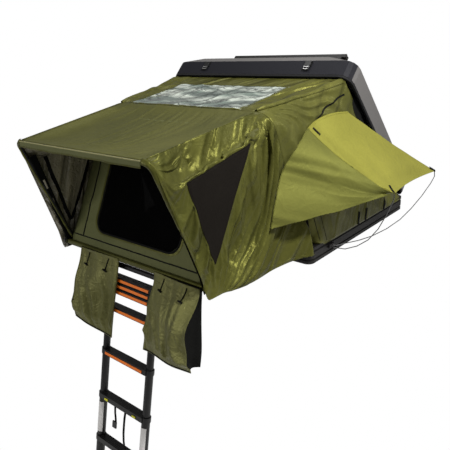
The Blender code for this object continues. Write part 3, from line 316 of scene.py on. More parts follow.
dress(["lid_shell"], lid_finish())
foam_rubber = hard_finish(
    "foam_rubber", (0.006, 0.006, 0.007), (0.012, 0.012, 0.012), 0.8, 0.0, 300.0, 8.0, 0.3, shine=0.2
)
dress(["lid_seal"], foam_rubber)
felt = hard_finish("headliner_felt", (0.018,) * 3, (0.035, 0.035, 0.034), 0.95, 0.0, 700.0, 6.0, 0.5)
dress(["lid_liner"], felt)
dress(["accessory_bar"], black_coat)
latch_black = hard_finish("latch_black", (0.004,) * 3, (0.008,) * 3, 0.40, 0.0, 300.0, 8.0, 0.1)
dress([f"latch_{side}_{piece}" for side in ("left", "right") for piece in ("lever", "plate")], latch_black)


# The gas struts.
# Two struts hold the lid up from the base's sides. Each is a painted steel tube that turns on the base
# and a bright chromed rod that slides in it.
dress(["strut_tube_left", "strut_tube_right"], latch_black)
bright_rod = hard_finish(
    "bright_rod", (0.55, 0.55, 0.56), (0.68, 0.68, 0.69), 0.16, 1.0, 200.0, 10.0, 0.02, rough_drift=0.05
)
dress(["strut_rod_left", "strut_rod_right"], bright_rod)


# The bows and the awning rods.
# Two anodised alloy tube hoops hinged beside the floor carry the fly, and bent spring rods in sockets on the
# base's sides hold the awnings out.
bow_grey = hard_finish(
    "bow_anodised", (0.035, 0.035, 0.036), (0.060, 0.060, 0.062), 0.34, 0.8, 500.0, 5.0, 0.05
)
dress(["front_bow", "mid_bow"], bow_grey)
rod_grey = hard_finish("spring_rod", (0.14,) * 3, (0.22,) * 3, 0.35, 0.9, 400.0, 8.0, 0.05)
rods = [f"awning_rod_{side}_{end}" for side in ("left", "right") for end in ("front", "rear")]
dress(rods, rod_grey)


# The ladder.
# Nine rungs on black anodised alloy tubes that slide one inside the next, hooked to a bracket under the
# floor, with two yellow thumb buttons that let a rung go.
ladder_black = hard_finish(
    "ladder_black", (0.006, 0.0055, 0.0055), (0.013, 0.012, 0.012), 0.34, 0.0, 500.0, 4.0, 0.12, shine=0.35
)
dress([f"ladder_section_{number}" for number in range(1, 9)] + ["ladder_top_bar"], ladder_black)
yellow = hard_finish("button_yellow", (0.60, 0.58, 0.01), (0.75, 0.73, 0.03), 0.45, 0.0, 300.0, 20.0, 0.1)
dress(["release_button_left", "release_button_right"], yellow)


# The fly's front roof panel and its valance.
# Coated poly-cotton canvas, sewn in panels and stretched from the middle bow over the front bow. A piped
# valance hangs from its front edge as a narrow band.
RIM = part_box("base_frame")[1].z
BASE_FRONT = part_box("base_frame")[0].y
INSIDE = Vector((0.0, BASE_FRONT + 0.1, RIM + 0.3))


def at(x, y, z):
    """A point given from the base's front edge and from its rim."""
    return Vector((x, BASE_FRONT + y, RIM + z))


def hump(share):
    """Zero at both ends of a span and one in its middle."""
    return 4 * share * (1 - share)


def ease(low, high, value):
    """A smooth step from 0 at low to 1 at high."""
    share = min(1.0, max(0.0, (value - low) / (high - low)))
    return share * share * (3 - 2 * share)


def crumple(place, size, seed=0.0):
    """Smooth noise about zero, its bumps about size apart."""
    return mnoise.noise(Vector(place) / size + Vector((seed, 2.3 * seed, -seed)))


def crease(turn, sharp=1.6):
    """Repeated folds with sharp crests and round hollows, from 0 to 1, one fold for each turn of 1."""
    return (1 - abs(math.sin(math.pi * turn))) ** sharp


def pleats(turn):
    """Repeated round folds, from 0 to 1."""
    return 0.5 + 0.5 * math.cos(2 * math.pi * turn)


def new_piece(name, mesh):
    """A mesh as a piece of the scene."""
    piece = bpy.data.objects.new(name, mesh)
    scene.collection.objects.link(piece)
    return piece


def nearest_tree(mesh):
    """A mesh as a search tree of its faces."""
    return BVHTree.FromPolygons([v.co for v in mesh.vertices], [p.vertices for p in mesh.polygons])


def turn_faces_out(mesh):
    """Makes all faces of a closed mesh look outward."""
    shell = bmesh.new()
    shell.from_mesh(mesh)
    bmesh.ops.recalc_face_normals(shell, faces=shell.faces)
    shell.to_mesh(mesh)
    shell.free()


def cloth_grid(name, surface, columns, lines, finish, thick=0.0012, keep=None):
    """A sheet through surface(across, down), with its UVs in metres of cloth."""
    rows = [[surface(c / columns, r / lines) for c in range(columns + 1)] for r in range(lines + 1)]
    width = max(sum((b - a).length for a, b in zip(row, row[1:])) for row in rows)
    drops = list(zip(*rows))
    length = max(sum((b - a).length for a, b in zip(drop, drop[1:])) for drop in drops)
    mesh = bpy.data.meshes.new(name)
    faces = []
    for r in range(lines):
        for c in range(columns):
            if keep is None or keep((c + 0.5) / columns, (r + 0.5) / lines):
                first = r * (columns + 1) + c
                faces.append((first, first + 1, first + columns + 2, first + columns + 1))
    mesh.from_pydata([point for row in rows for point in row], [], faces)
    layer = mesh.uv_layers.new(name="cloth")
    for loop in mesh.loops:
        r, c = divmod(loop.vertex_index, columns + 1)
        layer.data[loop.index].uv = (width * c / columns, length * r / lines)
    piece = new_piece(name, mesh)
    mesh.materials.append(finish)
    mesh.shade_smooth()
    turn_outward(piece)
    piece["cut"] = (width, length)
    piece["thick"] = thick
    return piece


def turn_outward(piece, inside=INSIDE):
    """Makes a sheet's faces look away from the tent's inside."""
    mesh = piece.data
    facing = sum((face.center - inside).dot(face.normal) * face.area for face in mesh.polygons)
    if facing < 0:
        mesh.flip_normals()


CANVAS_STIFFNESS = 15.0


def settle(piece, held, frames, slack):
    """Lets a sheet hang and wrinkle in Blender's cloth; held(across, down) is 1 where it is fixed."""
    width, length = piece["cut"]
    group = piece.vertex_groups.new(name="held")
    layer = piece.data.uv_layers[0]
    for loop in piece.data.loops:
        u, v = layer.data[loop.index].uv
        group.add([loop.vertex_index], held(u / width, v / length), "REPLACE")
    cloth = piece.modifiers.new("cloth", "CLOTH")
    cloth.settings.quality = 6
    cloth.settings.mass = 0.25
    cloth.settings.tension_stiffness = CANVAS_STIFFNESS
    cloth.settings.compression_stiffness = CANVAS_STIFFNESS
    cloth.settings.bending_stiffness = 0.4
    cloth.settings.vertex_group_mass = "held"
    cloth.settings.shrink_min = -slack
    cloth.point_cache.frame_start = 1
    cloth.point_cache.frame_end = frames
    for number in range(1, frames + 1):
        scene.frame_set(number)
    graph = bpy.context.evaluated_depsgraph_get()
    settled = bpy.data.meshes.new_from_object(piece.evaluated_get(graph))
    piece.modifiers.remove(cloth)
    piece.vertex_groups.remove(group)
    piece.data = settled
    scene.frame_set(1)


def finish_cloth(piece, body, node):
    edges = bmesh.new()
    edges.from_mesh(piece.data)
    area = sum(face.calc_area() for face in edges.faces)
    edges.free()
    thickness = piece.modifiers.new("thickness", "SOLIDIFY")
    thickness.thickness = piece["thick"]
    thickness.offset = -1.0
    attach(piece, body)
    if node:
        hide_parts(node)


def trace(piece, points, lift=0.0008):
    """The nearest places on a piece to some points, each with the surface's outward direction."""
    tree = nearest_tree(piece.data)
    found = []
    for point in points:
        place, normal, _, _ = tree.find_nearest(point)
        found.append((place + normal * lift, normal.copy()))
    return found


def ribbon(name, traced, width, height, finish, body):
    """A flat sewn band, such as a tape, a zip or a piping, along traced places."""
    mesh = bpy.data.meshes.new(name)
    verts, faces = [], []
    count = len(traced)
    for number, (place, normal) in enumerate(traced):
        before = traced[max(0, number - 1)][0]
        after = traced[min(count - 1, number + 1)][0]
        side = (after - before).cross(normal).normalized() * (width / 2)
        verts += [place - side, place - side * 0.8 + normal * height]
        verts += [place + side * 0.8 + normal * height, place + side]
    for number in range(count - 1):
        first = 4 * number
        for corner in range(4):
            other = (corner + 1) % 4
            faces.append((first + corner, first + other, first + 4 + other, first + 4 + corner))
    faces.append((0, 3, 2, 1))
    last = 4 * (count - 1)
    faces.append((last, last + 1, last + 2, last + 3))
    mesh.from_pydata(verts, [], faces)
    mesh.materials.append(finish)
    turn_faces_out(mesh)
    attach(new_piece(name, mesh), body)


def places(start, end, steps):
    """Places from one to another in equal steps."""
    return [
        tuple(first + (last - first) * step / steps for first, last in zip(start, end))
        for step in range(steps + 1)
    ]


def sewn(name, piece, surface, start, end, steps, lift, size, finish, body):
    """A ribbon on a piece, along its surface from one place to another; size is width and height."""
    line = [surface(*place) for place in places(start, end, steps)]
    ribbon(name, trace(piece, line, lift), *size, finish, body)


def canvas_effect():
    """Woven cloth: a weave height, a wrinkle height and a slow drift from 0 to 1, from UVs in metres."""
    group, start, end = effect(
        "woven_cloth",
        [("Pitch", "NodeSocketFloat", 0.0012), ("Wrinkle", "NodeSocketFloat", 22.0)],
        [("Weave", "NodeSocketFloat"), ("Wrinkles", "NodeSocketFloat"), ("Drift", "NodeSocketFloat")],
    )
    cut = group.nodes.new("ShaderNodeTexCoord").outputs["UV"]
    parts = group.nodes.new("ShaderNodeSeparateXYZ")
    group.links.new(cut, parts.inputs[0])
    turns = maths(group, "DIVIDE", 6.2832, start.outputs["Pitch"])
    warp = maths(group, "SINE", maths(group, "MULTIPLY", parts.outputs["X"], turns))
    weft = maths(group, "SINE", maths(group, "MULTIPLY", parts.outputs["Y"], turns))
    group.links.new(maths(group, "MULTIPLY", warp, weft), end.inputs["Weave"])
    place = group.nodes.new("ShaderNodeTexCoord").outputs["Object"]
    broad = noise(group, place, start.outputs["Wrinkle"], 3.0, 1.2)
    ridge = maths(group, "ABSOLUTE", maths(group, "SUBTRACT", broad, 0.5))
    small = noise(group, place, maths(group, "MULTIPLY", start.outputs["Wrinkle"], 3.1), 4.0, 0.8)
    sharp = maths(group, "MULTIPLY_ADD", ridge, -1.6, maths(group, "MULTIPLY", small, 0.35))
    group.links.new(sharp, end.inputs["Wrinkles"])
    group.links.new(noise(group, place, 2.2, 5.0, 0.6), end.inputs["Drift"])
    return group


CANVAS = canvas_effect()


def strained_effect():
    """Long folds of strained cloth that run along one direction and lie across another, from 0 to 1."""
    group, start, end = effect(
        "strained_folds",
        [
            ("Across", "NodeSocketVector", (0.0, 0.86, -0.51)),
            ("Along", "NodeSocketVector", (0.0, 0.51, 0.86)),
            ("Pitch", "NodeSocketFloat", 17.0),
        ],
        [("Folds", "NodeSocketFloat")],
    )
    place = group.nodes.new("ShaderNodeTexCoord").outputs["Object"]
    stretched = group.nodes.new("ShaderNodeCombineXYZ")
    for axis, socket, share in ((0, "Across", 1.0), (1, "Along", 0.11)):
        reach = dot_product(group, place, start.outputs[socket])
        group.links.new(maths(group, "MULTIPLY", reach, share), stretched.inputs[axis])
    waves = noise(group, stretched.outputs[0], start.outputs["Pitch"], 0.8, 0.5)
    group.links.new(maths(group, "MULTIPLY_ADD", waves, 2.2, -0.6), end.inputs["Folds"])
    return group


STRAINED = strained_effect()


def strain(material, across, along, pitch, depth, shade):
    """Adds strained folds to a canvas: their normals, and painted shade in their hollows and painted light
    on their crests.
    """
    tree = material.node_tree
    shader = tree.nodes["Principled BSDF"]
    folds = placed_effect(tree, STRAINED, Across=across, Along=along, Pitch=pitch)["Folds"]
    woven = shader.inputs["Normal"].links[0].from_socket
    tree.links.new(add_bump(tree, folds, 1.0, depth, woven), shader.inputs["Normal"])
    # Painted shade and light: the base colour is darkened in the folds' hollows and lightened on their
    # crests.
    painted_fold_shade = tree.nodes.new("ShaderNodeMix")
    painted_fold_shade.data_type = "RGBA"
    painted_fold_shade.blend_type = "MULTIPLY"
    painted_fold_shade.inputs["Factor"].default_value = 1.0
    tree.links.new(shader.inputs["Base Color"].links[0].from_socket, painted_fold_shade.inputs[6])
    tree.links.new(shade_mix(tree, folds, (shade,) * 3, (1.08,) * 3), painted_fold_shade.inputs[7])
    tree.links.new(painted_fold_shade.outputs[2], shader.inputs["Base Color"])


def canvas(name, dark, light, roughness, wrinkle=22.0, crumpled=0.35, weave=0.10, alpha=1.0, shine=0.5):
    """A woven fabric; wrinkle scales its creases, crumpled and weave deepen its two reliefs."""
    material, tree, shader = new_finish(name)
    cloth = placed_effect(tree, CANVAS, Wrinkle=wrinkle)
    # Colour: a random tone drift, plus painted light on the wrinkles' crests and painted shade beside them.
    tone_and_crease_shade = maths(tree, "MULTIPLY_ADD", cloth["Wrinkles"], 0.35, cloth["Drift"])
    tree.links.new(shade_mix(tree, tone_and_crease_shade, dark, light), shader.inputs["Base Color"])
    rough = maths(tree, "MULTIPLY_ADD", cloth["Drift"], 0.16, roughness - 0.08)
    tree.links.new(rough, shader.inputs["Roughness"])
    shader.inputs["Specular IOR Level"].default_value = shine
    shader.inputs["Specular Tint"].default_value = (*(min(1.0, 5 * part) for part in light), 1.0)
    shader.inputs["Alpha"].default_value = alpha
    fine = add_bump(tree, cloth["Weave"], weave, 0.0004)
    tree.links.new(add_bump(tree, cloth["Wrinkles"], crumpled, 0.010, fine), shader.inputs["Normal"])
    return material


olive = canvas("olive_canvas", (0.033, 0.036, 0.009), (0.092, 0.090, 0.020), 0.36, 14.0, 0.30, shine=0.6)
strain(olive, (0.0, 0.86, -0.51), (0.0, 0.51, 0.86), 13.0, 0.028, 0.62)
roof_olive = canvas("roof_canvas", (0.036, 0.038, 0.010), (0.094, 0.092, 0.024), 0.44, 14.0, 0.3, shine=0.3)
piping = canvas("olive_piping", (0.20, 0.19, 0.08), (0.32, 0.30, 0.14), 0.6, 60.0, 0.2)
black_tape = canvas("black_webbing", (0.004,) * 3, (0.011, 0.011, 0.010), 0.7, 60.0, 0.2, 0.3, shine=0.2)

RIDGE = (-0.290, 0.8426)
EAVE = (-1.060, 0.7156)
RIDGE_HALF, EAVE_HALF = 0.548, 0.503


def roof_surface(across, down):
    """The front roof: down is 0 at the ridge and 1 at the eave."""
    x = (2 * across - 1) * (RIDGE_HALF + (EAVE_HALF - RIDGE_HALF) * down)
    y = RIDGE[0] + (EAVE[0] - RIDGE[0]) * down
    z = RIDGE[1] + (EAVE[1] - RIDGE[1]) * down
    point = at(x, y, z)
    inner = min(1.0, 6 * hump(across)) * min(1.0, 2.5 * hump(down))
    pull = crease(9 * across + 1.6 * down + 0.7 * crumple(point, 0.5), 1.2)
    point.z += inner * (0.011 * pull - 0.014 * hump(across) * hump(down) + 0.004 * crumple(point, 0.2, 4.0))
    return point


roof = cloth_grid("fly_roof", roof_surface, 96, 64, roof_olive)
settle(roof, lambda u, v: float(min(u, 1 - u) < 0.012 or min(v, 1 - v) < 0.02), 8, 0.003)
finish_cloth(roof, "floor", "roof_front")

VALANCE_DROP = 0.036


def valance_surface(across, down):
    """The valance: down is 0 at the eave and 1 at its hem."""
    point = at((2 * across - 1) * EAVE_HALF, EAVE[0] - 0.0112, EAVE[1] - 0.001 - VALANCE_DROP * down)
    point.y -= 0.003 * down * crease(5 * across, 1.0) + 0.003 * down * crumple(point, 0.07)
    point.z += 0.004 * down * crumple(point, 0.1, 2.0)
    return point


grey_olive = canvas(
    "valance_canvas", (0.070, 0.078, 0.030), (0.120, 0.122, 0.052), 0.55, 14.0, 0.3, shine=0.4
)
valance = cloth_grid("fly_valance", valance_surface, 100, 6, grey_olive)
finish_cloth(valance, "floor", "awning_valance")
for label, down, lift, size, finish in (
    ("piping", 0.04, -0.0006, (0.006, 0.003), piping),
    ("hem", 0.9, -0.0003, (0.008, 0.0012), olive),
):
    sewn(f"valance_{label}", valance, valance_surface, (0, down), (1, down), 60, lift, size, finish, "floor")


# The side wings.
# One canvas panel each side from bow to bow, gathered at the ridge corner, with a black triangle of vent
# net sewn in. Its front edge wraps the front bow's leg beside a webbing sleeve, and its foot laps the base.
SIDES = (("right", 1), ("left", -1))
FLY_OUT = 0.6598
WING_REAR_FOOT = Vector((FLY_OUT, 0.043, 0.012))
WING_FRONT_FOOT = Vector((0.628, -0.800, -0.030))
WING_TURN = 0.18
HEM_LEVEL = -0.034
MID_BOW = (Vector((0.060, -0.030)), Vector((-0.290, 0.832)), 0.648, 0.100)
FRONT_BOW = (Vector((-0.770, 0.046)), Vector((-1.060, 0.705)), 0.553, 0.050)


def bow_turn(bow, turn, over=0.0118):
    """Just outside a bow's rounded corner: turn is 0 on its top bar and 1 on its leg."""
    foot, top, half, corner = bow
    rise = (top - foot).normalized()
    angle = math.pi / 2 * (1 - turn)
    high = (top - foot).length - corner + (corner + over) * math.sin(angle)
    wide = half - corner + (corner + over) * math.cos(angle)
    return Vector((wide, foot.x + rise.x * high, foot.y + rise.y * high))


VENT = (Vector((0.835, 0.285)), Vector((0.265, 0.195)), Vector((0.865, 0.815)))


def in_vent(ahead, down):
    """How far inside the vent's triangle a place is: 0 on its edge, positive inside."""
    place = Vector((ahead, down))
    inside = []
    for number in range(3):
        a, b = VENT[number], VENT[(number + 1) % 3]
        edge = b - a
        inside.append((edge.y * (place.x - a.x) - edge.x * (place.y - a.y)) / edge.length)
    return min(inside)


def wing_surface(sign):
    """One wing: ahead is 0 at the middle bow and 1 at the front bow, down is 0 at the roof."""

    def surface(ahead, down, pleat=1.0):
        turn = min(1.0, down / WING_TURN)
        low = max(0.0, (down - WING_TURN) / (1 - WING_TURN))
        rear = bow_turn(MID_BOW, turn)
        rear = rear.lerp(WING_REAR_FOOT, low)
        front = bow_turn(FRONT_BOW, turn)
        front = front.lerp(WING_FRONT_FOOT, low)
        point = rear.lerp(front, ahead)
        point.x += 0.098 * ease(0.60, 1.0, down) * ease(0.55, 0.0, ahead)
        hemmed = ease(0.85, 1.0, down)
        point.z += (HEM_LEVEL - point.z) * hemmed
        point.y -= 0.022 * hemmed * ease(0.10, 0.0, ahead)
        place = Vector((ahead * 0.80, down * 0.92))
        chord = Vector((0.76, 0.93))
        off = abs(chord.x * place.y - chord.y * place.x) / chord.length
        along = place.dot(chord) / chord.length
        arc = math.atan2(off, along) + math.atan2(off, chord.length - along)
        above = ease(0.0, 0.06, chord.y * place.x - chord.x * place.y)
        wobble = 0.40 * crumple((*place, sign), 0.32) + 0.55 * above * crumple((*place, 4 * sign), 0.13)
        spread = ease(0.02, 0.16, place.length) * ease(0.02, 0.22, (place - chord).length)
        count = 9 - 2 * above
        fold = 0.6 * pleats(count * arc / 1.57 + wobble) + 0.4 * crease(count * arc / 1.57 + wobble)
        fold *= spread * (1 - 0.75 * ease(0.95, 1.35, arc) * (1 - above))
        edge = min(1.0, (1 - ahead) * 9) * min(1.0, ahead * 12) * ease(0.0, 0.10, down)
        edge *= 1 - 0.85 * ease(0.90, 1.0, down)
        taut = 1 - 0.96 * ease(-0.035, 0.010, in_vent(ahead, down))
        folds = (0.028 - 0.004 * above) * fold + (0.003 + 0.005 * above) * crumple((*place, 3 * sign), 0.10)
        folds *= pleat
        point.x += edge * taut * folds
        point.x += 0.002
        point.x *= sign
        return at(*point)

    return surface


inside_olive = canvas("olive_lining", (0.15, 0.135, 0.085), (0.46, 0.42, 0.27), 0.30, 16.0, 0.9, shine=0.9)
strain(inside_olive, (0.0, 0.95, -0.31), (0.0, 0.31, 0.95), 14.0, 0.022, 0.50)
vent_black = canvas(
    "vent_net", (0.006, 0.005, 0.004), (0.014, 0.012, 0.010), 0.9, 40.0, 0.2, 0.4, shine=0.15
)
beige_tape = canvas("beige_tape", (0.42, 0.38, 0.28), (0.55, 0.50, 0.38), 0.6, 60.0, 0.2)
WING_HEM = (0.012, 0.0014)
WING_SEAM = 0.012
WRAP_TURN = 0.16
SLEEVE_INWARD, SLEEVE_THICK = 0.034, 0.004
# The steps of the sleeve that each beige patch covers.
SLEEVE_PATCHES = ((16, 23), (29, 38))


def wing_held(ahead, down):
    """1 where a wing is sewn to the bows, the roof and the vent."""
    edge = min(ahead, 1 - ahead, down)
    return float(edge < WING_SEAM or in_vent(ahead, down) > -WING_SEAM)


def make_wing(side, sign):
    """One wing with its vent, its bindings and the sleeves of the front bow."""
    surface = wing_surface(sign)
    wing = cloth_grid(f"fly_wing_{side}", surface, 140, 130, olive)
    wing.data.materials.append(inside_olive)
    settle(wing, wing_held, 12, 0.008)
    finish_cloth(wing, "floor", f"wing_{side}")
    wing.modifiers["thickness"].material_offset = 1

    def vent_surface(across, down):
        place = VENT[1].lerp(VENT[0], across).lerp(VENT[2], 0.985 * down)
        return surface(*place)

    vent = cloth_grid(f"fly_vent_{side}", vent_surface, 36, 36, vent_black)
    tree = nearest_tree(wing.data)
    for vertex in vent.data.vertices:
        place, normal, _, _ = tree.find_nearest(vertex.co)
        vertex.co = place + normal * 0.0022
    finish_cloth(vent, "floor", f"vent_{side}")
    border = places((0, 0), (0, 1), 30) + places((1, 1), (1, 0), 30) + places((1, 0), (0, 0), 20)
    traced = trace(wing, [vent_surface(*place) for place in border], 0.0020)
    ribbon(f"vent_binding_{side}", traced, 0.007, 0.0012, vent_black, "floor")
    sewn(f"wing_edge_{side}", wing, surface, (0.994, 0), (0.994, 1), 60, 0.0002, WING_HEM, olive, "floor")
    inward = Vector((-sign, 0.0, 0.0))
    sleeve = [
        (surface(*place, 0.0) + inward * SLEEVE_INWARD, inward)
        for place in places((0.955, 0.24), (0.955, 0.94), 60)
    ]
    ribbon(f"bow_sleeve_{side}", sleeve, 0.046, SLEEVE_THICK, black_tape, "floor")
    for number, (first, last) in enumerate(SLEEVE_PATCHES):
        patch = [(place + normal * (SLEEVE_THICK + 0.0002), normal) for place, normal in sleeve[first:last]]
        ribbon(f"sleeve_patch_{side}_{number}", patch, 0.012, 0.001, beige_tape, "floor")

    def wrap_surface(around, down):
        """The wing's front edge, rolled round the front bow."""
        rise = (FRONT_BOW[1] - FRONT_BOW[0]).normalized()
        turn = min(1.0, down / WRAP_TURN)
        centre = bow_turn(FRONT_BOW, turn, 0.0)
        low = max(0.0, (down - WRAP_TURN) / (1 - WRAP_TURN))
        centre = centre.lerp(Vector((0.578, *FRONT_BOW[0])), low)
        angle = math.pi / 2 * (1 - turn)
        outward = Vector((math.cos(angle), rise.x * math.sin(angle), rise.y * math.sin(angle)))
        forward = Vector((0.0, -rise.y, rise.x))
        bend = math.radians(-30 + 175 * around)
        radius = 0.0135 + 0.002 * crumple(centre, 0.04, sign) + 0.006 * ease(0.25, 0.0, around)
        point = centre + radius * (outward * math.cos(bend) + forward * math.sin(bend))
        point.x *= sign
        return at(*point)

    wrap = cloth_grid(f"wing_wrap_{side}", wrap_surface, 14, 90, olive, 0.001)
    finish_cloth(wrap, "floor", None)
    start, end = (2 / 60, 0.985), (59 / 60, 0.985)
    sewn(f"wing_hem_{side}", wing, surface, start, end, 57, 0.0002, WING_HEM, olive, "floor")
    start, end = (1 / 60, 0.004), (59 / 60, 0.004)
    sewn(f"roof_seam_{side}", wing, surface, start, end, 58, 0.0002, (0.009, 0.0018), olive, "floor")
    for number, across in enumerate((0, 1)):
        route = [vent_surface(*place) for place in places((across, 0), (across, 1), 30)]
        traced = [(place - normal * 0.004, -normal) for place, normal in trace(wing, route, 0.0)]
        ribbon(f"wing_band_{side}_{number}", traced, 0.024, 0.0012, black_tape, "floor")


for side, sign in SIDES:
    make_wing(side, sign)


# The front wall and its mesh door.
# A canvas panel that leans back from the floor's edge to the ridge. Its doorway is closed by black net on
# a zip, and its foot is carried over the floor's edge channel and stitched along the sill.
WALL_FOOT = at(0, -0.788, 0.026)
WALL_LEAN = math.radians(65.8)
WALL_UP = Vector((0, math.cos(WALL_LEAN), math.sin(WALL_LEAN)))
WALL_BACK = WALL_UP.cross(Vector((1, 0, 0)))
DOOR_HALF, DOOR_LOW, DOOR_HIGH, DOOR_ROUND = 0.350, 0.105, 0.740, 0.080
DOOR_EDGE = (DOOR_HALF, DOOR_HALF, DOOR_LOW, DOOR_HIGH, DOOR_ROUND)
WALL_EDGE = (0.564, 0.529, 0.001, 0.829, 0.02)
NET_LAP = 0.004


def wall_place(x, up):
    """A point in the front wall's plane, from the middle of its foot."""
    return WALL_FOOT + WALL_UP * up + Vector((x, 0, 0))


def rounded_panel(half_low, half_high, low, high, radius, share):
    """A point on a rounded panel's edge, share 0 to 1 round it from its upper right corner."""
    steps = 8
    points = []
    for number in range(4):
        half = half_high if number in (0, 1) else half_low
        y = high - radius if number in (0, 1) else low + radius
        x = half - radius if number in (0, 3) else radius - half
        for step in range(steps + 1):
            angle = math.pi / 2 * (number + step / steps)
            points.append(Vector((x + radius * math.cos(angle), y + radius * math.sin(angle))))
    points.append(points[0])
    lengths = [(b - a).length for a, b in zip(points, points[1:])]
    goal = share * sum(lengths)
    for (a, b), length in zip(zip(points, points[1:]), lengths):
        if goal <= length:
            return a.lerp(b, goal / max(length, 1e-9))
        goal -= length
    return points[-1]


def wall_surface(around, inward):
    """The wall as a band round its doorway: inward is 0 at its outer edge and 1 at the doorway."""
    outer, inner = rounded_panel(*WALL_EDGE, around), rounded_panel(*DOOR_EDGE, around)
    point = wall_place(*outer.lerp(inner, inward))
    wave = 0.004 * crumple(point, 0.10) + 0.004 * crease(14 * around + crumple(point, 0.3), 1.5)
    return point - WALL_BACK * wave * hump(inward)


wall = cloth_grid("front_wall_canvas", wall_surface, 200, 12, grey_olive)
finish_cloth(wall, "floor", "front_wall")
mesh_black = canvas("door_net", (0.0008,) * 3, (0.003,) * 3, 1.0, 30.0, 0.25, 0.5, alpha=0.96, shine=0.05)


def door_flat(across, down):
    """A place on the net in the wall's plane, a lap wider than the doorway all round."""
    height = DOOR_HIGH - DOOR_LOW + 2 * NET_LAP
    return (2 * across - 1) * (DOOR_HALF + NET_LAP), DOOR_HIGH + NET_LAP - height * down


def door_surface(across, down):
    """The net, a little slack just behind the wall."""
    point = wall_place(*door_flat(across, down))
    return point - WALL_BACK * (-0.002 + 0.002 * crumple(point, 0.2))


def in_doorway(across, down):
    """Whether a place on the net is inside its rounded corners."""
    x, up = door_flat(across, down)
    past_x = max(0.0, abs(x) - (DOOR_HALF - DOOR_ROUND))
    past_y = max(0.0, max(up - (DOOR_HIGH - DOOR_ROUND), DOOR_LOW + DOOR_ROUND - up))
    return math.hypot(past_x, past_y) < DOOR_ROUND + NET_LAP


door = cloth_grid("door_net", door_surface, 60, 54, mesh_black, 0.0006, in_doorway)
finish_cloth(door, "floor", "door_mesh")
for name, surface, start, end, steps, lift, size, finish in (
    ("door_zip", wall_surface, (0, 0.97), (1, 0.97), 160, 0.0004, (0.013, 0.0024), black_tape),
    ("door_zip_flap", wall_surface, (0, 0.90), (1, 0.90), 160, 0.0002, (0.016, 0.0014), olive),
    ("wall_zip", wall_place, (-0.46, 0.05), (-0.46, 0.79), 40, 0.0004, (0.010, 0.0022), black_tape),
):
    sewn(name, wall, surface, start, end, steps, lift, size, finish, "floor")


SILL_WIDTH = 1.21
SILL_PROFILE = (
    (-0.7865, 0.0305), (-0.7990, 0.0300), (-0.8062, 0.0262), (-0.8068, 0.0150), (-0.8068, 0.0030),
)


def skirt_surface(across, down):
    """The wall's foot carried over the floor's edge channel and down its front."""
    goal = down * (len(SILL_PROFILE) - 1)
    number = min(len(SILL_PROFILE) - 2, int(goal))
    y, z = Vector(SILL_PROFILE[number]).lerp(Vector(SILL_PROFILE[number + 1]), goal - number)
    return at(SILL_WIDTH * (across - 0.5), y, z)


skirt_cloth = cloth_grid("sill_skirt", skirt_surface, 60, 12, olive, 0.0008)
finish_cloth(skirt_cloth, "floor", None)
start, end = (-0.55, 0.048), (0.55, 0.048)
sewn("sill_seam", wall, wall_place, start, end, 60, 0.0004, (0.008, 0.0016), black_tape, "floor")


# The rear roof and its skylight.
# The fly's canvas carries on from the ridge up to the lid's front edge, with a window of clear crinkled PVC
# sewn into it behind a canvas binding.
LID_HINGE, LID_REACH, LID_HALF = 1.439, 1.443, 0.690
LID_SEAM = (0.022, -0.016)
WINDOW_HALF, WINDOW_SHIFT, WINDOW_LOW, WINDOW_HIGH = 0.450, 0.030, 0.03, 0.74


def lid_place(x, inward, level):
    """A point at the lid's rim, inward from its front edge and level above the rim."""
    return at(x, LID_HINGE, 0.0) + LID_FORWARD * (LID_REACH - inward) + LID_UP * level


def rear_surface(across, up):
    """The rear roof: up is 0 at the ridge and 1 at the lid."""
    x_low = (2 * across - 1) * RIDGE_HALF
    x_high = (2 * across - 1) * LID_HALF
    low = at(x_low, RIDGE[0] + 0.001, RIDGE[1])
    high = lid_place(x_high, *LID_SEAM)
    point = low.lerp(high, up)
    beside = ease(window_edge(up) + 0.01, window_edge(up) - 0.04, across)
    beside += ease(window_edge(up, 1) - 0.01, window_edge(up, 1) + 0.04, across)
    gather = crease(20 * across + 1.5 * crumple(point, 0.2), 1.4) * ease(0.72, 0.95, up)
    strained = pleats(20 * across - 1.2 * up + 1.4 * crumple(point, 0.22)) * beside
    point.z += -0.010 * hump(up) + 0.010 * hump(up) * gather
    point.z += min(1.0, 3 * hump(up)) * (0.016 * strained + 0.003 * crumple(point, 0.12))
    return point


def window_edge(up, sign=-1):
    """The skylight's left or right edge, as a share of the fly's width there."""
    half = RIDGE_HALF + (LID_HALF - RIDGE_HALF) * up
    return 0.5 + (sign * WINDOW_HALF - WINDOW_SHIFT) / (2 * half)


def beside_window(across, up):
    """Whether the fly has cloth at a place, outside its window's opening."""
    return not (window_edge(up) < across < window_edge(up, 1) and WINDOW_LOW < up < WINDOW_HIGH)


rear_olive = canvas("rear_canvas", (0.038, 0.040, 0.010), (0.104, 0.101, 0.023), 0.34, 14.0, 0.30, shine=0.7)
strain(rear_olive, (0.80, -0.48, -0.36), (0.42, 0.70, 0.58), 10.0, 0.030, 0.60)
rear = cloth_grid("fly_rear_roof", rear_surface, 200, 80, rear_olive, keep=beside_window)
finish_cloth(rear, "lid", "roof_rear")


def window_surface(across, down):
    """The window's film, a lap wider than its opening, taut at its edges and crinkled inside them."""
    up = WINDOW_HIGH + 0.008 - (WINDOW_HIGH - WINDOW_LOW + 0.016) * down
    first, last = window_edge(up) - 0.010, window_edge(up, 1) + 0.010
    point = rear_surface(first + (last - first) * across, up)
    frame_edge = min(1.0, 7 * hump(across)) * min(1.0, 7 * hump(down))
    long_fold = crease(4.5 * across + 2.2 * down + crumple(point, 0.25, 5.0), 2.2)
    point.z += frame_edge * (0.007 * long_fold + 0.006 * crumple(point, 0.09, 7.0))
    point.z += 0.0015
    return point


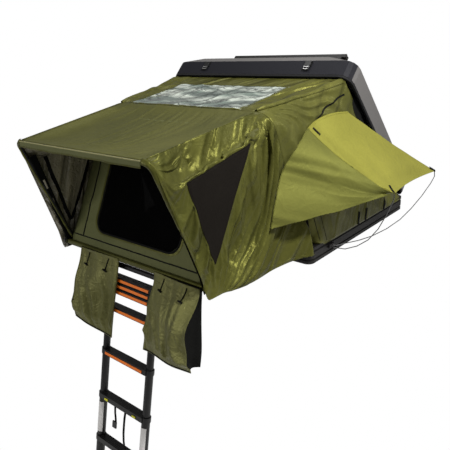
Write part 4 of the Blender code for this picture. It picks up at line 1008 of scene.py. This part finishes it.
def clear_film():
    """Clear PVC film, glossy and crinkled, its pale patches partly whitened film and partly painted
    reflection, its thin dark lines painted shade from the dark inside.
    """
    material = canvas("clear_film", (0.16, 0.17, 0.16), (0.42, 0.44, 0.42), 0.14, 7.0, 1.0, 0.0, 0.9)
    tree = material.node_tree
    shader = tree.nodes["Principled BSDF"]
    place = tree.nodes.new("ShaderNodeTexCoord").outputs["Object"]
    slant = tree.nodes.new("ShaderNodeMapping")
    slant.inputs["Rotation"].default_value = (0.0, 0.0, 0.6)
    slant.inputs["Scale"].default_value = (1.0, 3.2, 1.0)
    tree.links.new(place, slant.inputs["Vector"])
    broad = noise(tree, slant.outputs["Vector"], 2.0, 2.0, 0.8)
    fine = noise(tree, slant.outputs["Vector"], 4.0, 3.0, 1.2)
    patch = ramp(tree, broad, 0.44, 0.58)
    line = ramp(tree, maths(tree, "ABSOLUTE", maths(tree, "SUBTRACT", fine, 0.5)), 0.0, 0.045)
    # Painted light: pale patches paint reflections on whitened film, and thin dark lines paint the shade of
    # the dark inside.
    pale_film_and_reflection = shade_mix(tree, patch, (0.16, 0.20, 0.17), (0.56, 0.61, 0.53))
    film_shade_and_light = shade_mix(tree, line, (0.04, 0.05, 0.045), pale_film_and_reflection)
    tree.links.new(film_shade_and_light, shader.inputs["Base Color"])
    shader.inputs["Specular Tint"].default_value = (1.0, 1.0, 1.0, 1.0)
    shader.inputs["Coat Weight"].default_value = 1.0
    shader.inputs["Coat Roughness"].default_value = 0.06
    return material


window = cloth_grid("skylight_film", window_surface, 90, 64, clear_film(), 0.0008)
finish_cloth(window, "lid", "skylight")
corners = ((0.006, 0.008), (0.994, 0.008), (0.994, 0.992), (0.006, 0.992), (0.006, 0.008))
frame_line = []
for start, end in zip(corners, corners[1:]):
    frame_line += [window_surface(*place) for place in places(start, end, 40)[:-1]]
frame_line.append(frame_line[0])
ribbon("skylight_binding", trace(window, frame_line, 0.0006), 0.012, 0.0016, olive, "lid")


# The side walls.
# Canvas from the base's edge up to the ridge and the lid's rim, zipped along the fly's rear edge. A wide
# black band along its top below the lid is painted shade, and three webbing straps tie it down to the base.
WALL_OUT, BASE_OUT = 0.7128, 0.7432
KNEE = 0.75
LID_CORNER = 0.40


def side_surface(sign):
    """One side wall: back is 0 at the middle bow and 1 at the hinge, up is 0 at the top."""
    foot = Vector((FLY_OUT, 0.0465, 0.0003))
    shift = Vector((0, 0.0032, 0))
    lid_front = lid_place(WALL_OUT, 0.030, -0.020) - at(0, 0, 0)
    lid_rear = lid_place(WALL_OUT, 1.374, -0.020) - at(0, 0, 0)
    ridge = bow_turn(MID_BOW, 0.0) + shift
    knee = bow_turn(MID_BOW, 1.0) + shift

    def surface(back, up):
        up = 1 - up
        if up <= KNEE:
            front = foot.lerp(knee, up / KNEE)
        else:
            turn = 1 - (up - KNEE) / (1 - KNEE)
            front = bow_turn(MID_BOW, turn) + shift
        bend = front - foot.lerp(ridge, up)
        bottom = foot.lerp(Vector((WALL_OUT, lid_rear.y, 0.0003)), back)
        bottom.x = FLY_OUT + (BASE_OUT - FLY_OUT) * ease(0.0, 0.06, back)
        bottom.z = 0.0012 - 0.0172 * ease(0.062, 0.09, back)
        if back < LID_CORNER:
            top = ridge.lerp(lid_front, back / LID_CORNER)
        else:
            top = lid_front.lerp(lid_rear, (back - LID_CORNER) / (1 - LID_CORNER))
        point = bottom.lerp(top, up) + bend * max(0.0, 1 - back / LID_CORNER) ** 2
        inner = min(1.0, hump(up) * 3) * min(1.0, hump(back) * 3)
        hang = crease(9 * back + 0.9 * up + 0.6 * crumple(point, 0.3), 1.4)
        fan_turn = math.atan2(back * 1.6, 1.02 - up) / (math.pi / 2)
        gather = crease(5 * fan_turn + 1.1 * crumple(point, 0.22), 1.2)
        gather *= ease(0.45, 0.9, up) * ease(0.52, 0.30, back)
        point.x += inner * 0.010 * hang + 0.016 * gather * (1 - ease(0.97, 1.0, up)) * ease(0.0, 0.05, back)
        point.x += inner * 0.003 * crumple(point, 0.1, 3.0)
        point.x *= sign
        return at(*point)

    return surface


wall_olive = canvas("wall_canvas", (0.040, 0.043, 0.011), (0.108, 0.105, 0.025), 0.38, 14.0, 0.30, shine=0.6)
strain(wall_olive, (0.0, 0.90, -0.44), (0.0, 0.44, 0.90), 10.0, 0.014, 0.78)
for side, sign in SIDES:
    surface = side_surface(sign)
    side_wall = cloth_grid(f"side_canvas_{side}", surface, 110, 80, wall_olive)
    finish_cloth(side_wall, "base", f"side_wall_{side}")

    def bridge_surface(across, down):
        """The turned seam that closes the corner between the rear roof and the side wall."""
        roof_edge = rear_surface(0.5 + 0.492 * sign, 0.005 + 0.985 * down)
        wall_edge = surface(LID_CORNER * (0.005 + 0.985 * down), 0.015)
        point = roof_edge.lerp(wall_edge, across)
        point.z += 0.012 * hump(across)
        point.x += sign * 0.008 * hump(across)
        return point

    bridge = cloth_grid(f"fly_corner_{side}", bridge_surface, 8, 80, wall_olive, 0.001)
    finish_cloth(bridge, "lid", None)
    zip_line = [surface(0.03 + 0.36 * (1 - s / 60) ** 1.6, 0.08 + 0.80 * (s / 60) ** 1.8) for s in range(61)]
    ribbon(f"fly_rear_zip_{side}", trace(side_wall, zip_line, 0.0006), 0.012, 0.002, black_tape, "base")
    # A wide black band along the wall's top under the lid's rim: painted shade.
    sewing = [(f"lid_border_{side}", surface, (0.46, 0.035), (0.99, 0.035), 50, 0.0004, (0.075, 0.0010))]
    for number, back in enumerate((0.63, 0.74, 1.05)):
        start, end = (sign * 0.7440, back, 0.075), (sign * 0.7440, back, -0.015)
        sewing.append((f"base_strap_{side}_{number}", at, start, end, 10, 0.0006, (0.020, 0.003)))
    for number, back in enumerate((0.055, 0.115)):
        start, end = (back, 0.72), (back, 0.98)
        sewing.append((f"wall_pocket_{side}_{number}", surface, start, end, 20, 0.0004, (0.004, 0.001)))
    for name, followed, start, end, steps, lift, size in sewing:
        sewn(name, side_wall, followed, start, end, steps, lift, size, black_tape, "base")


# The side awnings.
# A lime canvas hood over each side window, sewn to an arch on the wall. Two spring rods hold it out by a
# black webbing tab at each of its outer corners.
lime = canvas("lime_canvas", (0.155, 0.150, 0.026), (0.245, 0.230, 0.042), 0.50, 12.0, 0.35, shine=0.4)
# The hood's front panel takes a darker copy of the lime canvas: painted shade for its steeper face.
lime_shaded_front = canvas(
    "lime_shaded_front_canvas", (0.090, 0.094, 0.022), (0.150, 0.150, 0.034), 0.50, 12.0, 0.35, shine=0.4
)
strain(lime, (0.62, 0.30, 0.72), (-0.20, 0.88, -0.42), 8.0, 0.010, 0.86)
strain(lime_shaded_front, (0.15, 0.30, 0.94), (0.45, 0.84, -0.30), 8.0, 0.020, 0.62)
lime_lining = canvas("lime_lining", (0.16, 0.155, 0.03), (0.26, 0.25, 0.06), 0.6)
# Places (back, up) on the wall where a hood is sewn on, from its foot to its rear end.
ARCH = (
    (-0.330, 0.215), (-0.290, 0.350), (-0.235, 0.460), (-0.160, 0.575),
    (-0.020, 0.700), (0.110, 0.757), (0.260, 0.782), (0.420, 0.775),
)
TIP_NEAR = Vector((1.095, 0.345, 0.325))
TIP_FAR = Vector((1.095, 1.030, 0.325))
TIP_LOW = TIP_NEAR + Vector((-0.030, -0.020, -0.008))
ARCH_STEPS = 96
ARCH_FRONT = 0.62
HOOD_COLUMNS, HOOD_LINES = 110, 60


def along_arch(share):
    """A place (back, up) on the smooth curve through the arch's points."""
    goal = share * (len(ARCH) - 1)
    number = min(len(ARCH) - 2, int(goal))
    part = goal - number
    before = Vector(ARCH[max(0, number - 1)])
    first, second = Vector(ARCH[number]), Vector(ARCH[number + 1])
    after = Vector(ARCH[min(len(ARCH) - 1, number + 2)])
    pull = (second - before) * 0.5, (after - first) * 0.5
    a, b, c = part, part * part, part * part * part
    return (
        first * (2 * c - 3 * b + 1) + pull[0] * (c - 2 * b + a)
        + second * (3 * b - 2 * c) + pull[1] * (c - b)
    )


def make_awning(side, sign):
    """One hood: its front panel takes the first half of its width and its rear panel the other half."""
    trees = [nearest_tree(bpy.data.objects[f"{name}_{side}"].data) for name in ("side_canvas", "fly_wing")]

    def root_x(y, z):
        """How far out the fabric is at a place on the tent's side."""
        start = at(sign * 1.2, y, z)
        hits = [tree.ray_cast(start, Vector((-sign, 0, 0)))[0] for tree in trees]
        return max([abs(hit.x) for hit in hits if hit] + [0.60])

    roots = []
    for number in range(ARCH_STEPS + 1):
        y, z = along_arch(number / ARCH_STEPS)
        roots.append(Vector((root_x(y, z) + 0.006, y, z)))
    smooth_x = []
    for number in range(ARCH_STEPS + 1):
        beside = [root.x for root in roots[max(0, number - 6): number + 7]]
        smooth_x.append(sum(beside) / len(beside))

    def surface(share, out):
        if share < 0.5:
            reached = share * 2 * ARCH_FRONT
        else:
            reached = ARCH_FRONT + (share - 0.5) * 2 * (1 - ARCH_FRONT)
        number = min(ARCH_STEPS - 1, int(reached * ARCH_STEPS))
        part = reached * ARCH_STEPS - number
        root = roots[number].lerp(roots[number + 1], part)
        root.x = smooth_x[number] + (smooth_x[number + 1] - smooth_x[number]) * part + 0.003
        if share < 0.5:
            tip = TIP_LOW.lerp(TIP_NEAR, share / 0.5)
        else:
            tip = TIP_NEAR.lerp(TIP_FAR, (share - 0.5) / 0.5)
        point = root.lerp(tip, out)
        point.z -= 0.020 * hump(out) * (0.5 + hump(share))
        ripple = crease(9 * share + 0.7 * out + 0.6 * crumple(point, 0.3), 1.3)
        seam_dip = ease(0.06, 0.0, abs(share - 0.5))
        point.z += hump(out) * (0.009 * ripple * (1 - ease(0.5, 0.6, share) * 0.6) - 0.006 * seam_dip)
        point.z += 0.004 * hump(out) * crumple(point, 0.12)
        corner = ease(0.75, 1.0, out) * hump((share * 2) % 1.0 if share >= 0.5 else share * 2)
        point.x -= 0.030 * corner
        point.x *= sign
        return at(*point)

    hood = cloth_grid(f"awning_canvas_{side}", surface, HOOD_COLUMNS, HOOD_LINES, lime, 0.0014)
    for finish in (lime_lining, lime_shaded_front, lime_lining):
        hood.data.materials.append(finish)
    # The front half of the hood gets the darker copy of the lime: painted shade.
    for face in hood.data.polygons:
        face.material_index = 2 if face.index % HOOD_COLUMNS < HOOD_COLUMNS // 2 else 0
    turn_outward(hood, at(0, 0.3, -0.2))
    finish_cloth(hood, "base", f"side_awning_{side}")
    hood.modifiers["thickness"].material_offset = 1
    sewing = [("seam", (0.5, 0), (0.5, 1), 40, 0.0002, (0.010, 0.0016), lime)]
    for part, first, finish in (("front", 0.0, lime_shaded_front), ("rear", 0.5, lime)):
        start, end = (first, 0.988), (first + 0.5, 0.988)
        sewing.append((f"hem_{part}", start, end, 50, 0.0002, (0.014, 0.0016), finish))
        start, end = (first, 0.012), (first + 0.5, 0.012)
        sewing.append((f"root_{part}", start, end, 50, 0.0004, (0.010, 0.0022), finish))
    sewing.append(("strap", (0.535, 0.03), (0.535, 0.11), 10, 0.0004, (0.016, 0.002), black_tape))
    for label, start, end, steps, lift, size, finish in sewing:
        sewn(f"awning_{label}_{side}", hood, surface, start, end, steps, lift, size, finish, "base")
    for number, tip in enumerate((TIP_NEAR, TIP_FAR)):
        inward = Vector((-0.055, 0.035 - 0.06 * number, 0.030))
        start, end = (tip.x * sign, tip.y, tip.z), ((tip + inward).x * sign, *(tip + inward).yz)
        name, size = f"awning_tab_{side}_{number}", (0.018, 0.0022)
        sewn(name, hood, at, start, end, 8, 0.001, size, black_tape, "base")


for side, sign in SIDES:
    make_awning(side, sign)


# The ladder's trim.
# Ribbed orange rubber grips along the treads, plain pale bands stuck round two tubes, and a black webbing
# strap with a moulded buckle for tying the ladder shut.
LADDER_TILT = math.radians(11.5)
TREAD_FRONT = -0.035
LADDER_HALF = 0.200


def on_ladder(x, ahead, down):
    """A point in the ladder's leaning frame, measured from its top bar."""
    c, s = math.cos(LADDER_TILT), math.sin(LADDER_TILT)
    return at(x, -0.765 + ahead * c - down * s, -0.047 - ahead * s - down * c)


def grip_finish():
    """Moulded orange rubber with slanting ribs across it."""
    orange_low, orange_high = (0.86, 0.150, 0.002), (1.0, 0.24, 0.004)
    material = hard_finish("orange_grip", orange_low, orange_high, 0.5, 0.0, 300.0, 20.0, 0.1)
    tree = material.node_tree
    place = tree.nodes.new("ShaderNodeTexCoord").outputs["Object"]
    ribs = tree.nodes.new("ShaderNodeTexWave")
    ribs.bands_direction = "DIAGONAL"
    ribs.inputs["Scale"].default_value = 60.0
    tree.links.new(place, ribs.inputs["Vector"])
    relief = add_bump(tree, ribs.outputs["Fac"], 0.6, 0.001)
    tree.links.new(relief, tree.nodes["Principled BSDF"].inputs["Normal"])
    return material


def ladder_strip(name, body, low, high, finish, ease_edge=0.0012):
    """A bevelled block in the ladder's frame between two corners (x, ahead, down)."""
    block = bmesh.new()
    bmesh.ops.create_cube(block, size=1.0)
    for vertex in block.verts:
        share = vertex.co + Vector((0.5, 0.5, 0.5))
        vertex.co = on_ladder(*(a + (b - a) * t for a, b, t in zip(low, high, share)))
    bmesh.ops.recalc_face_normals(block, faces=block.faces)
    mesh = bpy.data.meshes.new(name)
    block.to_mesh(mesh)
    block.free()
    mesh.materials.append(finish)
    piece = new_piece(name, mesh)
    rounding = piece.modifiers.new("rounding", "BEVEL")
    rounding.width = ease_edge
    rounding.segments = 2
    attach(piece, body)


orange = grip_finish()
for number, down in ((1, 0.080), (2, 0.117), (3, 0.154), (4, 0.270), (5, 0.570)):
    collar = 0.0185 + 0.002 * number
    half = LADDER_HALF - collar - 0.003
    low = (-half, TREAD_FRONT - 0.0030, down - 0.006)
    high = (half, TREAD_FRONT - 0.0003, down + 0.011)
    ladder_strip(f"tread_grip_{number}", f"ladder_{number}", low, high, orange)

pale_band = canvas("pale_band", (0.60, 0.58, 0.56), (0.74, 0.72, 0.70), 0.5, 40.0, 0.05, 0.05)


def tube_band(name, body, x, radius, top, bottom):
    """A thin band stuck round the front of a tube."""
    steps, section = 12, ((0.0003, top), (0.0009, top), (0.0009, bottom), (0.0003, bottom))
    rings = []
    for number in range(steps + 1):
        angle = math.radians(-150 + 120 * number / steps)
        rings.append([
            on_ladder(x + (radius + r) * math.cos(angle), (radius + r) * math.sin(angle), down)
            for r, down in section
        ])
    faces = [
        (4 * n + c, 4 * n + (c + 1) % 4, 4 * n + 4 + (c + 1) % 4, 4 * n + 4 + c)
        for n in range(steps) for c in range(4)
    ]
    faces += [(0, 3, 2, 1), tuple(range(4 * steps, 4 * steps + 4))]
    mesh = bpy.data.meshes.new(name)
    mesh.from_pydata([point for ring in rings for point in ring], [], faces)
    mesh.uv_layers.new(name="cloth")
    mesh.materials.append(pale_band)
    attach(new_piece(name, mesh), body)


for side, x in (("left", -LADDER_HALF), ("right", LADDER_HALF)):
    tube_band(f"tube_band_{side}", "ladder_6", x, 0.026, 0.920, 1.125)


def webbing(name, body, route, width, finish):
    """A free flat strap through points in the ladder's frame, its face turned to the front."""
    out = on_ladder(0, -1, 0) - on_ladder(0, 0, 0)
    ribbon(name, [(on_ladder(*point), out) for point in route], width, 0.0016, finish, body)


STRAP_WIDTH = 0.020
webbing("strap_long", "ladder_6", [
    (0.030, -0.010, 0.884), (0.030, -0.014, 0.905), (0.033, -0.020, 0.940), (0.037, -0.024, 0.985),
    (0.040, -0.026, 1.030), (0.048, -0.028, 1.075), (0.062, -0.030, 1.115), (0.078, -0.031, 1.145),
], STRAP_WIDTH, black_tape)
webbing("strap_short", "ladder_6", [
    (-0.070, -0.010, 0.884), (-0.066, -0.014, 0.905), (-0.056, -0.020, 0.935), (-0.046, -0.022, 0.965),
    (-0.040, -0.023, 0.995), (-0.040, -0.023, 1.030),
], STRAP_WIDTH, black_tape)
for name, low, high in (
    ("strap_buckle", (-0.062, -0.034, 0.985), (-0.026, -0.024, 1.030)),
    ("strap_tip", (0.064, -0.038, 1.120), (0.092, -0.028, 1.150)),
):
    ladder_strip(name, "ladder_6", low, high, latch_black, 0.003)


# The mattresses.
# Two foam pads in a dark knitted cover with rounded corners. The front one lies on the fold-out floor
# and the rear one on the board in the base.
cover = canvas("mattress_cover", (0.10, 0.10, 0.095), (0.18, 0.18, 0.17), 0.9, 30.0, 0.15, 0.4)


def cushion(name, node, body):
    """A pad in place of a CAD mattress: pinched round its middle, its corners pressed down."""
    low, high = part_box(node)
    middle, half = (low + high) / 2, (high - low) / 2
    pad = bmesh.new()
    bmesh.ops.create_cube(pad, size=2.0)
    bmesh.ops.subdivide_edges(pad, edges=pad.edges, cuts=24, use_grid_fill=True)
    for vertex in pad.verts:
        u, v, w = vertex.co
        pinch = 1 - 0.020 * (1 - abs(w)) ** 2
        crown = 1 - 0.10 * max(abs(u), abs(v)) ** 6
        vertex.co = middle + Vector((half.x * u * pinch, half.y * v * pinch, half.z * w * crown))
    mesh = bpy.data.meshes.new(name)
    pad.to_mesh(mesh)
    pad.free()
    mesh.uv_layers.new(name="cloth")
    mesh.materials.append(cover)
    mesh.shade_smooth()
    piece = new_piece(name, mesh)
    rounded = piece.modifiers.new("rounded", "BEVEL")
    rounded.width = 0.012
    rounded.segments = 3
    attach(piece, body)
    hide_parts(node)


cushion("front_mattress_pad", "front_mattress", "floor")
cushion("rear_mattress_pad", "rear_mattress", "base")


# The boot bags.
# Two open canvas pockets with a folded gusset of black net, hung from the fold-out floor's front edge. Each
# has two black cords with toggles on its front.
bag_olive = canvas("bag_canvas", (0.076, 0.077, 0.026), (0.160, 0.155, 0.056), 0.40, 14.0, 0.8, shine=0.6)
strain(bag_olive, (0.97, 0.0, 0.24), (-0.24, 0.0, 0.97), 11.0, 0.018, 0.70)
gusset_black = canvas("bag_net", (0.004,) * 3, (0.011, 0.011, 0.010), 0.9, 40.0, 0.3, 0.5, shine=0.2)


def boot_bag(side, sign):
    """One bag: flat along its inner edge, and opening to a folded net gusset along its outer edge."""
    half_width, middle, lift = 0.183, sign * 0.330 + 0.080, 0.060
    height, foot_width, fullness = (0.462, 1.20, 1.0) if sign > 0 else (0.490, 0.86, 0.45)

    def depth(across, down):
        """How far the bag's front stands off its back."""
        full = 0.020 + 0.095 * ease(0.02, 0.45, down) - 0.045 * ease(0.80, 1.0, down)
        return fullness * full * (0.14 + 0.86 * ease(-1.0, 0.5, sign * across))

    def bag_point(across, down, layer):
        """layer is 0 on the back and 1 on the front."""
        flare = 0.97 + (foot_width - 0.97) * ease(0.0, 1.0, down)
        place = at(middle + half_width * across * flare, 0, 0.019 - height * down)
        back = -0.8078 - 0.2035 * max(0.0, height * down - 0.02)
        place.y += back - depth(across, down) * layer
        place.z += lift * ease(0.55, 1.0, down) * (0.5 + 0.5 * across * sign)
        soft = ease(0.0, 0.15, down) * layer
        fold = crease(1.8 * across - 1.6 * down + 0.9 * crumple(place, 0.25, sign), 1.3)
        calm = ease(1.0, 0.80, down)
        bulge = 0.020 * fold * ease(0.15, 0.6, down) + 0.012 * crumple(place, 0.15, 3 * sign)
        place.y -= soft * calm * bulge
        place.x += 0.004 * crumple((0, 0, down), 0.6, 5 * sign) * ease(0.1, 0.5, down)
        return place

    levels, wide, deep = 48, 28, 8
    rings, gusset = [], range(wide, wide + deep)
    for level in range(levels + 1):
        down = level / levels
        ring = [bag_point(sign * (2 * n / wide - 1), down, 0.0) for n in range(wide)]
        for n in range(deep):
            share = n / deep
            point = bag_point(sign, down, share)
            point.x -= sign * 0.030 * math.sin(math.pi * share) * ease(0.05, 0.3, down)
            ring.append(point)
        ring += [bag_point(sign * (1 - 2 * n / wide), down, 1.0) for n in range(wide + 1)]
        rings.append(ring)
    around = len(rings[0])
    verts = [point for ring in rings for point in ring]
    faces, kinds = [], []
    for level in range(levels):
        for number in range(around):
            first = level * around + number
            second = level * around + (number + 1) % around
            faces.append((first, second, second + around, first + around))
            kinds.append(1 if number in gusset else 0)
    faces += [tuple(range(around)), tuple(reversed(range(levels * around, (levels + 1) * around)))]
    kinds += [1, 0]
    mesh = bpy.data.meshes.new(f"boot_bag_canvas_{side}")
    mesh.from_pydata(verts, [], faces)
    layer = mesh.uv_layers.new(name="cloth")
    for loop in mesh.loops:
        place = mesh.vertices[loop.vertex_index].co
        layer.data[loop.index].uv = (place.x + place.y, place.z)
    mesh.materials.append(bag_olive)
    mesh.materials.append(gusset_black)
    for face, kind in zip(mesh.polygons, kinds):
        face.material_index = kind
    mesh.shade_smooth()
    turn_faces_out(mesh)
    piece = new_piece(f"boot_bag_canvas_{side}", mesh)
    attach(piece, "floor")
    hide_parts(f"boot_bag_{side}")
    for number, across in enumerate((-0.5, 0.5)):
        start, end = (across, 0.04, 1.0), (across - 0.10, 0.19, 1.0)
        name, size = f"bag_cord_{side}_{number}", (0.006, 0.004)
        sewn(name, piece, bag_point, start, end, 10, 0.0006, size, black_tape, "floor")
        knot = bag_point(*end)
        toggle = [knot + Vector(shift) for shift in places((-0.016, 0, 0.004), (0.016, 0, -0.004), 10)]
        ribbon(f"bag_toggle_{side}_{number}", trace(piece, toggle, 0.002), 0.010, 0.007, black_tape, "floor")
    sewing = []
    seams = (("rim", 0.012, bag_olive), ("flap", 0.115, bag_olive), ("foot", 0.985, black_tape))
    for label, down, finish in seams:
        sewing.append((label, (-0.95, down, 1.0), (0.95, down, 1.0), 38, (0.008, 0.0014), finish))
    outer = sign * 0.985
    sewing.append(("edge", (outer, 0.03, 1.0), (outer, 0.98, 1.0), 40, (0.008, 0.0018), bag_olive))
    for label, start, end, steps, size, finish in sewing:
        sewn(f"bag_{label}_{side}", piece, bag_point, start, end, steps, 0.0002, size, finish, "floor")


for side, sign in SIDES:
    boot_bag(side, sign)


# The latches' bright trim.
# Two pressed steel lips curve across the lower end of each black lever, where fingers lift it off its plate.
# They are fixed to the lever and swing with it.
lip_steel = hard_finish("lip_steel", (0.50, 0.50, 0.50), (0.72, 0.72, 0.70), 0.30, 0.8, 400.0, 10.0, 0.05)
for side in ("left", "right"):
    low, high = (Vector(corner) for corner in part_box(f"latch_{side}_lever"))
    middle = (low + high) / 2 + LID_FORWARD * 0.0044
    for number, (level, half) in enumerate(((-0.010, 0.018), (-0.027, 0.015))):
        lip = []
        for step in range(13):
            share = step / 6 - 1
            lift = LID_UP * (level - 0.004 * (1 - share * share))
            lip.append((middle + Vector((half * share, 0, 0)) + lift, LID_FORWARD))
        ribbon(f"latch_lip_{side}_{number}", lip, 0.0045, 0.0014, lip_steel, f"latch_{side}")


# The fabric as the tent closes.
# The fly, its walls and the bags crumple flat on the floor panel as the real tent folds back, the side walls
# and awnings sink as the lid comes down, and the rear roof is drawn in under it. Each row below holds the
# pieces, the joint, the direction of pressing, the place pressed to and the share of depth that is left; the
# loop only gives each matching piece a mesh of its own.
LID_EDGE = lid_place(0.0, *LID_SEAM)
FOLDS = (
    (("fly_roof", "fly_valance", "valance_", "fly_wing", "fly_vent", "vent_binding", "wing_", "bow_sleeve",
      "sleeve_patch", "roof_seam", "front_wall", "door_", "wall_zip", "sill_seam"),
     "floor_fold", (0, 0, 1), at(0, -0.4, 0.034), 0.06),
    (("boot_bag_canvas", "bag_"), "floor_fold", (0, 0, 1), at(0, -0.8, 0.0), 0.12),
    (("side_canvas", "fly_rear_zip", "lid_border", "wall_pocket", "base_strap", "awning_"),
     "lid_hinge", (0, 0, 1), at(0, 0, 0.0), 0.16),
    (("fly_rear_roof", "skylight_", "fly_corner"), "lid_hinge", LID_EDGE - at(0, *RIDGE), LID_EDGE, 0.05),
)
for piece in [piece for piece in scene.objects if piece.type == "MESH" and piece.name not in nodes]:
    for starts, joint, axis, anchor, keep in FOLDS:
        if piece.name.startswith(starts):
            tuple(axis)
            tuple(anchor)
            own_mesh(piece)
